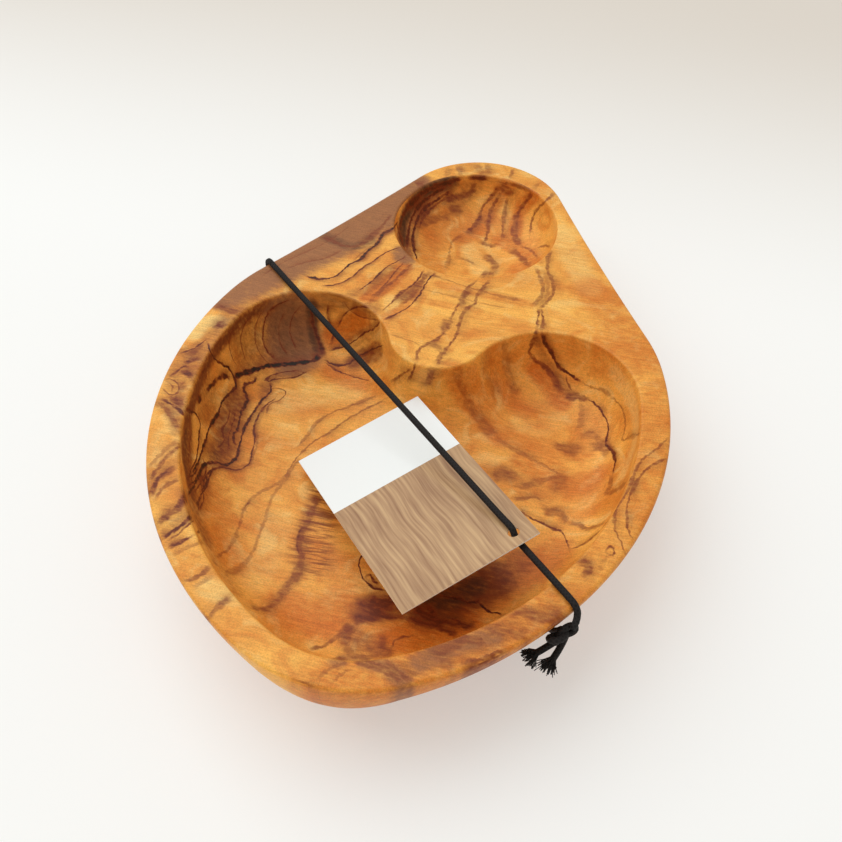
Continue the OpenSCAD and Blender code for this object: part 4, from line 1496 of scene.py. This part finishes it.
        # A line that reaches the rim's outer edge runs on down the wall below it
        feet = np.array([self.foot_at(v, self.rim_edge_r, 0) for v in bm.verts])
        places[outside] = feet[outside]
        normals[outside] = UP
        heights = np.array([v.co.z - self.base_z for v in bm.verts]) / self.height
        veins = figure.vein_fields(places, normals, wood)
        for made in veins:
            made[outside, 1] *= np.clip(heights[outside] / self.vein_share, 0, 1)
        tints = figure.tint_field(places, normals, wood)
        tints[outside] *= np.clip(heights[outside] / self.tint_share, 0, 1)[:, None]
        piece = make_piece("carved_dish", bm, finish.build(len(veins)))
        fields = {f"vein_{k}": made for k, made in enumerate(veins)}
        fields |= {"tint_warm": tints[:, :3], "tint_dark": tints[:, 3:]}
        for name, made in fields.items():
            attribute = piece.data.attributes.new(name, "FLOAT_VECTOR", "POINT")
            attribute.data.foreach_set("vector", made.astype(np.float32).ravel())
        settle(piece, "dish", ["dish_body"])
        LOG.info("figure: %d veins in %d families, %d bands", len(figure.veins), len(veins),
                 len(figure.bands))


@dataclass(frozen=True)
class BraidedElastic:
    """Round elastic with a braided polyester cover, matte and nearly black.

    The eye sees a dull black cord with a fine diagonal braid.
    """

    colour: str = "#120F0F"
    lit: str = "#241F1E"
    roughness: float = 0.8
    specular: float = 0.3
    # Pitch of the braid along the cord in millimetres, and its strands round it
    pitch: float = 1.1
    strands: int = 8
    # Where the strands rise out of the weave, and the strength and depth of their relief
    rise: Span = Span(-0.4, 1.0)
    relief: float = 0.5
    relief_depth: float = 0.12

    def build(self) -> Material:
        """Builds the material from the cord's own UV map: share of the way round, and millimetres along.

        Returns:
            The finish.
        """
        material, tree, shader = new_material("braided_black_elastic", self.roughness, self.specular)
        around, along, _ = split(tree, add_node(tree, "UVMap", uv_map="cord").outputs["UV"])
        waves = []
        for sign in (1, -1):
            run = compute(tree, "MULTIPLY", along, sign * math.tau / self.pitch)
            turn = compute(tree, "MULTIPLY_ADD", around, math.tau * self.strands / 2, run)
            waves.append(compute(tree, "SINE", turn))
        lift = ramp(tree, compute(tree, "MAXIMUM", *waves), self.rise)
        tree.links.new(blend(tree, lift, self.colour, self.lit), shader.inputs["Base Color"])
        emboss(tree, shader, lift, self.relief, self.relief_depth)
        return material


@dataclass(frozen=True)
class FrayedFibre:
    """Loose polyester fibres at the elastic's cut ends.

    The eye sees dull black threads with slightly lighter stretches.
    """

    colour: str = "#120F0F"
    lit: str = "#201B1A"
    roughness: float = 0.85
    specular: float = 0.5
    # Length of the lighter and darker stretches in millimetres
    fleck: float = 0.8

    def build(self) -> Material:
        """Builds the material.

        Returns:
            The finish.
        """
        material, tree, shader = new_material("frayed_black_fibre", self.roughness, self.specular)
        spot = add_node(tree, "TexCoord").outputs["Object"]
        flecks = noise(tree, spot, self.fleck * MM, Detail.USUAL).outputs["Fac"]
        tree.links.new(blend(tree, flecks, self.colour, self.lit), shader.inputs["Base Color"])
        return material


def sweep(bm: BMesh, route: Sequence[Vector], radius: float, sides: int, capped: bool = True) -> None:
    """Sweeps a ring along a route, with a UV map of the share round it and the millimetres along it.

    Args:
        bm: The mesh, in millimetres.
        route: Points of the middle line.
        radius: The cord's radius.
        sides: Points of the ring.
        capped: Whether the two ends are closed.
    """
    uv = bm.loops.layers.uv.get("cord") or bm.loops.layers.uv.new("cord")
    end = len(route) - 1
    ahead = [(route[min(i + 1, end)] - route[max(i - 1, 0)]).normalized() for i in range(len(route))]
    place = Matrix.LocRotScale(route[0], UP.rotation_difference(ahead[0]), None)
    ring = bmesh.ops.create_circle(bm, cap_ends=capped, segments=sides, radius=radius, matrix=place)["verts"]
    edges = list({e for v in ring for e in v.link_edges if e.other_vert(v) in ring})
    number = {v: k for k, v in enumerate(ring)}
    run = 0.0
    for i in range(1, len(route)):
        step = ahead[i - 1].rotation_difference(ahead[i])
        made = bmesh.ops.extrude_edge_only(bm, edges=edges)["geom"]
        fresh: dict[BMVert, int] = {}
        for vert in (g for g in made if isinstance(g, BMVert)):
            old = next(e.other_vert(vert) for e in vert.link_edges if e.other_vert(vert) in number)
            fresh[vert] = number[old]
            vert.co = route[i] + step @ (old.co - route[i - 1])
        reach = run + (route[i] - route[i - 1]).length
        both = number | fresh
        for face in (g for g in made if isinstance(g, BMFace)):
            wraps = {both[v] for v in face.verts} == {0, sides - 1}
            for loop in face.loops:
                around = sides if wraps and both[loop.vert] == 0 else both[loop.vert]
                loop[uv].uv = (around / sides, reach if loop.vert in fresh else run)
        edges = [g for g in made if isinstance(g, BMEdge) and all(v in fresh for v in g.verts)]
        number = fresh
        run = reach
    if capped:
        bmesh.ops.contextual_create(bm, geom=edges)


@dataclass
class Elastic:
    """The elastic round the dish, its knot and its frayed tails, in millimetres and degrees."""

    hole: Vector
    thickness: float = 1.9
    # Points round the cord, the distance between its rings, and the loop's direction in plan
    sides: int = 14
    pitch: float = 1.2
    loop_turn: float = -41.6
    # Routes along the loop from the card's hole, across it, and up from the table
    over: Route = (
        (-133.6, 0, 36), (-132.1, 0, 36), (-100, 0, 36.5), (-50, 0, 37.3), (-5, 0, 38), (-2, 0, 38.2),
        (-0.8, 0, 37.9), (0, 0, 37), (0.8, 0, 36.1), (2, 0, 35.8), (5, 0, 35.8), (15.4, 0, 36),
        (24.8, 0, 36), (26, 0, 35.7), (26.8, 0, 34.9), (27.3, 0, 33.7), (28.6, -1.4, 32.4),
        (28.8, -2.6, 30.8))
    far_drop: Route = (
        (-133.6, 0, 36), (-135.1, 0, 36), (-136.3, 0, 35.7), (-137.1, 0, 34.9), (-137.4, 0, 33.7),
        (-137.1, 0, 31.9), (-136.3, 0, 29.5), (-135, 0, 26.6), (-133.3, 0, 23.2), (-131.2, 0, 19.5),
        (-128.9, 0, 15.7), (-126.4, 0, 12), (-123.7, 0, 8.5), (-120.9, 0, 5.5), (-118, 0, 3.1),
        (-115.1, 0, 1.45), (-112.9, 0, 1.0), (-110.6, 0, 0.98))
    under: Route = ((-110.6, 0, 0.95), (-55, 0, 0.95), (0.3, 0, 0.95))
    near_drop: Route = (
        (25.2, -2.6, 25.3), (24.6, -2.6, 23.9), (21.6, -1.6, 18.6), (18.8, -0.6, 15.2), (16.1, 0, 11.9),
        (13.4, 0, 8.4), (10.6, 0, 5.4), (7.7, 0, 3), (4.8, 0, 1.45), (2.6, 0, 1.0), (0.3, 0, 0.98))
    # The knot's middle on the loop, its lean off the wall, and its three lobes: their depth and spread, the
    # shift of their middle, and the points of their line
    knot_at: Triple = (27.5, -2.6, 27.8)
    knot_lean: float = 22.6
    knot_depth: float = 0.9
    knot_spread: Triple = (1.0, 1.4, 1.0)
    knot_shift: Triple = (0.0, -2.2, 0.2)
    knot_points: int = 48
    # Routes of the tails from the knot's middle: off the wall, across, and along the knot
    tail_left: Route = (
        (0.4, -0.8, -2), (0.7, -1.2, -4.2), (0.7, -2.6, -6), (0.7, -5.6, -7.4), (0.6, -8.4, -8.4))
    tail_right: Route = (
        (0.4, 0.4, -2), (0.9, 0.4, -4.2), (1.6, 0, -5.8), (3.1, -2.4, -7), (4.6, -5.8, -7.4))
    # Loose fibres of a cut end: how many, how long, how thick, with how many sides, and how far they splay
    fibres: int = 110
    fibre_length: float = 4.2
    fibre_r: float = 0.12
    fibre_sides: int = 4
    splay: float = 0.85
    # How far back in the tail they start, and how far their tips bend and sag
    fibre_back: float = 1.2
    fibre_bend: float = 0.5
    fibre_sag: float = 0.3
    # Least and greatest share of the splay, of the cord's radius and of the length
    splay_shares: Pair = (0.05, 1.0)
    radius_shares: Pair = (0.0, 0.95)
    length_shares: Pair = (0.55, 1.0)

    def in_loop(self, p: Sequence[float]) -> Vector:
        """Places a point of the loop.

        Args:
            p: The point, along the loop from the card's hole, across it and up from the table.

        Returns:
            The place in the dish's frame.
        """
        a = math.radians(self.loop_turn)
        along, across = Vector((math.cos(a), math.sin(a), 0)), Vector((-math.sin(a), math.cos(a), 0))
        return Vector((self.hole.x, self.hole.y, 0)) + p[0] * along + p[1] * across + p[2] * UP

    def at_knot(self, p: Sequence[float]) -> Vector:
        """Places a point that is given off the wall, across, and along the knot."""
        q = Euler((0, math.radians(self.knot_lean), 0)).to_matrix() @ Vector(p)
        return self.in_loop(q + Vector(self.knot_at))

    def cord(self, name: str, route: Sequence[Vector], finish: Material, node: str) -> None:
        """Builds one stretch of the elastic.

        Args:
            name: The piece's name.
            route: Points of the middle line.
            finish: The elastic's finish.
            node: The CAD node that it stands for.
        """
        bm = bmesh.new()
        sweep(bm, smooth_path(route, self.pitch), self.thickness / 2, self.sides)
        bmesh.ops.recalc_face_normals(bm, faces=bm.faces)
        settle(make_piece(name, bm, finish), "dish", [node])

    def knot_route(self) -> list[Vector]:
        """Works out the pulled-tight overhand knot.

        Returns:
            Its closed middle line.
        """
        made = []
        for k in range(self.knot_points + 1):
            t = math.tau * k / self.knot_points
            p = Vector((self.knot_depth * math.sin(3 * t), math.sin(t) + 2 * math.sin(2 * t),
                        math.cos(t) - 2 * math.cos(2 * t)))
            made.append(self.at_knot(Vector(self.knot_shift) + Vector(self.knot_spread) * p))
        return made

    def fray(self, route: Sequence[Vector], name: str, finish: Material, seed: int) -> None:
        """Splays loose fibres from a tail's cut end.

        Args:
            route: The tail's middle line.
            name: The piece's name.
            finish: The fibres' finish.
            seed: Start of the random numbers.
        """
        chance = np.random.default_rng(seed)
        end, ahead = route[-1], (route[-1] - route[-2]).normalized()
        bm = bmesh.new()
        for _ in range(self.fibres):
            aside = Vector(chance.normal(size=3))
            aside = (aside - aside.dot(ahead) * ahead).normalized()
            spread = self.splay * chance.uniform(*self.splay_shares)
            out = self.thickness / 2 * chance.uniform(*self.radius_shares)
            start = end - self.fibre_back * ahead + aside * out
            way = (ahead + aside * spread).normalized()
            length = self.fibre_length * chance.uniform(*self.length_shares)
            bend = Vector(chance.normal(size=3)) * self.fibre_bend - UP * self.fibre_sag
            line = [start, start + way * length / 2, start + way * length + bend]
            sweep(bm, line, self.fibre_r, self.fibre_sides, False)
        bmesh.ops.recalc_face_normals(bm, faces=bm.faces)
        settle(make_piece(name, bm, finish), "dish", [])

    def build(self, braid: BraidedElastic, loose: FrayedFibre) -> None:
        """Builds every stretch, the knot and the frayed tails.

        Args:
            braid: The cord's finish.
            loose: The fibres' finish.
        """
        finish, fibre = braid.build(), loose.build()
        for name, route in (("over", self.over), ("far_drop", self.far_drop), ("under", self.under),
                            ("near_drop", self.near_drop)):
            self.cord(f"braid_{name}", [self.in_loop(p) for p in route], finish, f"elastic_{name}")
        self.cord("overhand_knot", self.knot_route(), finish, "elastic_knot")
        for seed, (side, route) in enumerate((("left", self.tail_left), ("right", self.tail_right))):
            line = [self.at_knot(p) for p in route]
            self.cord(f"tail_{side}", line, finish, f"elastic_tail_{side}")
            self.fray(line, f"fray_{side}", fibre, seed)


@dataclass(frozen=True)
class PrintedCard:
    """Satin card stock with a wood-grain print on its lower part and bare white on the rest.

    The eye sees smooth white board, a tan print with brown streaks, and a pale cut edge.
    """

    white: str = "#F3F3F1"
    edge: str = "#EDE6DA"
    tan: str = "#B58B60"
    streak: str = "#93663F"
    pale: str = "#D0A878"
    roughness: float = 0.4
    specular: float = 0.5
    # Streaks of the print along and across the card in millimetres, and their tones' places in the noise
    streak_length: float = 26.0
    streak_width: float = 1.15
    streak_at: float = 0.3
    tan_at: float = 0.5
    pale_at: float = 0.7
    # Size of the clouds that sway the streaks, and how far they sway them
    cloud_size: float = 22.0
    sway: Triple = (8.0, 3.5, 0.0)
    # Place along the card that its cut edges carry in the UV map
    cut_mark: float = -5.0

    def print_tones(self, tree: Tree, uv: Socket) -> Socket:
        """Adds the printed wood grain.

        Args:
            tree: The material's node tree.
            uv: The place on the card in millimetres.

        Returns:
            The print's colour.
        """
        clouds = noise(tree, uv, self.cloud_size, Detail.SOFT).outputs["Color"]
        swayed = move(tree, "MULTIPLY_ADD", clouds, self.sway, uv)
        at = move(tree, "MULTIPLY", swayed, (1 / self.streak_length, 1 / self.streak_width, 0.0))
        tone = add_node(tree, "ValToRGB", {"Fac": noise(tree, at, 1.0, Detail.RAGGED).outputs["Fac"]})
        first, last = tone.color_ramp.elements
        first.position = self.streak_at
        first.color = linear(self.streak)
        last.position = self.pale_at
        last.color = linear(self.pale)
        tone.color_ramp.elements.new(self.tan_at).color = linear(self.tan)
        return tone.outputs["Color"]

    def build(self, print_end: float) -> Material:
        """Builds the material from the card's own UV map in millimetres.

        Args:
            print_end: Distance from the hole's end of the card to the end of the print.

        Returns:
            The finish.
        """
        material, tree, shader = new_material("printed_card_stock", self.roughness, self.specular)
        uv = add_node(tree, "UVMap", uv_map="card").outputs["UV"]
        along = split(tree, uv)[0]
        bare = compute(tree, "GREATER_THAN", along, print_end)
        face = blend(tree, bare, self.print_tones(tree, uv), self.white)
        cut = compute(tree, "LESS_THAN", along, self.cut_mark / 2)
        tree.links.new(blend(tree, cut, face, self.edge), shader.inputs["Base Color"])
        return material


@dataclass
class Card:
    """The hang card on the elastic, in millimetres, with its places from the punched hole."""

    hole: Vector
    length: float = 73.0
    width: float = 42.4
    thickness: float = 0.4
    hole_r: float = 1.7
    hole_sides: int = 40
    hole_from_end: float = 4.8
    hole_from_side: float = 5.4
    # How the card lies in the hollow, in degrees
    turn: float = 131.7
    slope: float = 12.2
    roll: float = -10.0
    # Share of the length that the print covers, from the hole's end
    print_share: float = 0.62
    # Cells that let the card bend, and the rise of its faint curl
    cell: float = 4.0
    curl: float = 0.35
    # Upright part of a face's direction below which it is a cut edge
    edge_turn: float = 0.5

    def build(self, finish: PrintedCard) -> None:
        """Builds the card: a punched sheet, curled, thickened and laid in the hollow.

        Args:
            finish: The card stock.
        """
        bm = bmesh.new()
        sheet = Matrix.Translation((self.length / 2, self.width / 2, 0)) @ Matrix.Diagonal(
            (self.length, self.width, 1, 1))
        bmesh.ops.create_grid(bm, x_segments=1, y_segments=1, size=HALF, matrix=sheet)
        bmesh.ops.delete(bm, geom=bm.faces[:], context="FACES_ONLY")
        punch = Matrix.Translation((self.hole_from_end, self.hole_from_side, 0))
        bmesh.ops.create_circle(bm, segments=self.hole_sides, radius=self.hole_r, matrix=punch)
        bmesh.ops.triangle_fill(bm, use_beauty=True, edges=bm.edges[:], normal=UP)
        for axis, size in enumerate((self.length, self.width)):
            for k in range(1, math.ceil(size / self.cell)):
                place, way = Vector(), Vector()
                place[axis] = k * self.cell
                way[axis] = 1
                bmesh.ops.bisect_plane(bm, geom=bm.verts[:] + bm.edges[:] + bm.faces[:], plane_co=place,
                                       plane_no=way)
        uv = bm.loops.layers.uv.new("card")
        for loop in (loop for f in bm.faces for loop in f.loops):
            loop[uv].uv = loop.vert.co.xy
        for vert in bm.verts:
            vert.co.z = self.curl * (2 * vert.co.x / self.length - 1) ** 2 - self.thickness / 2
        rim = [e for e in bm.edges if e.is_boundary]
        made = bmesh.ops.extrude_face_region(bm, geom=bm.faces[:], use_keep_orig=True)["geom"]
        bmesh.ops.translate(bm, vec=UP * self.thickness, verts=[g for g in made if isinstance(g, BMVert)])
        for face in {f for e in rim for f in e.link_faces if abs(f.normal.z) < self.edge_turn}:
            for loop in face.loops:
                loop[uv].uv = (finish.cut_mark, 0.0)
        bmesh.ops.recalc_face_normals(bm, faces=bm.faces)
        angles = [math.radians(angle) for angle in (self.roll, self.slope, self.turn)]
        lay = Matrix.Translation(self.hole) @ Euler(angles).to_matrix().to_4x4() @ punch.inverted()
        bmesh.ops.transform(bm, matrix=lay, verts=bm.verts)
        piece = make_piece("hang_card", bm, finish.build(self.print_share * self.length))
        piece.data.shade_flat()
        settle(piece, "card", ["swing_card"])


@dataclass(frozen=True)
class Studio:
    """A plain pale floor under soft light from the left.

    The eye sees matt paper, nearly white, that turns to a warm grey far behind the dish.
    """

    floor: str = "#FBFAF8"
    floor_far: str = "#DED5CB"
    floor_half: float = 2500.0
    roughness: float = 0.9
    specular: float = 0.5
    # Size, strength and depth of the paper's tooth
    tooth_size: float = 0.6
    tooth: float = 0.05
    tooth_depth: float = 0.05
    # Share of the floor's own colour that shows whatever the light, so the paper stays pale in the shadow
    floor_lift: float = 0.4
    # Where the floor starts to turn to its far colour, and where it has turned, behind the dish
    far_from: float = 70.0
    far_to: float = 330.0
    # The lamp's place, side, power and colour, and the world's colour and level
    key_place: Triple = (-1150.0, 500.0, 2150.0)
    key_size: float = 3000.0
    key_power: float = 45.3
    key_colour: str = "#EBF6FF"
    world: str = "#FFFBF0"
    world_level: float = 0.62

    def paper(self) -> Material:
        """Builds the floor's material.

        Returns:
            The finish.
        """
        material, tree, shader = new_material("matt_pale_paper", self.roughness, self.specular)
        spot = add_node(tree, "TexCoord").outputs["Object"]
        far = ramp(tree, split(tree, spot)[1], Span(self.far_from * MM, self.far_to * MM), "SMOOTHSTEP")
        colour = blend(tree, far, self.floor, self.floor_far)
        tree.links.new(colour, shader.inputs["Base Color"])
        grit = noise(tree, spot, self.tooth_size * MM, Detail.USUAL).outputs["Fac"]
        emboss(tree, shader, grit, self.tooth, self.tooth_depth)
        # The lift is only seen, by the eye or in a gloss, and throws no light on the dish
        path = add_node(tree, "LightPath").outputs
        seen = path["Is Camera Ray"]
        for ray in ("Is Glossy Ray", "Is Transmission Ray"):
            seen = compute(tree, "ADD", seen, path[ray], clamp=True)
        lift = compute(tree, "MULTIPLY", seen, self.floor_lift)
        glow = add_node(tree, "Emission", {"Color": colour}).outputs["Emission"]
        both = add_node(tree, "MixShader", {0: lift, 1: shader.outputs["BSDF"], 2: glow}).outputs[0]
        tree.links.new(both, tree.get_output_node("ALL").inputs["Surface"])
        return material

    def light(self) -> None:
        """Adds the lamp and the world."""
        lamp = bpy.data.lights.new("window_light", "AREA")
        lamp.shape = "SQUARE"
        lamp.size = self.key_size * MM
        lamp.energy = self.key_power
        lamp.color = linear(self.key_colour)[:3]
        key = bpy.data.objects.new("window_light", lamp)
        key.location = Vector(self.key_place) * MM
        key.rotation_euler = (-Vector(self.key_place)).to_track_quat("-Z", "Y").to_euler()
        bpy.context.scene.collection.objects.link(key)
        world = bpy.data.worlds.new("studio")
        world.use_nodes = True
        sky = world.node_tree.nodes["Background"]
        sky.inputs["Color"].default_value = linear(self.world)
        sky.inputs["Strength"].default_value = self.world_level
        bpy.context.scene.world = world

    def build(self) -> None:
        """Adds the floor and its light, and sets the view transform."""
        material = self.paper()
        bm = bmesh.new()
        bmesh.ops.create_grid(bm, x_segments=1, y_segments=1, size=self.floor_half)
        make_piece("floor", bm, material)
        self.light()
        bpy.context.scene.view_settings.view_transform = "Standard"


def main() -> None:
    """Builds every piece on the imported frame."""
    logging.basicConfig(level=logging.INFO, format="%(message)s")
    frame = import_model()
    hole = Vector(frame["joints"][0]["pos_m"]) / MM
    camera = PhotoCamera()
    camera.build()
    Studio().build()
    Dish().build(WoodFigure(camera), OliveWood())
    Elastic(hole).build(BraidedElastic(), FrayedFibre())
    Card(hole).build(PrintedCard())
    bpy.context.view_layer.update()


if __name__ == "__main__":
    main()
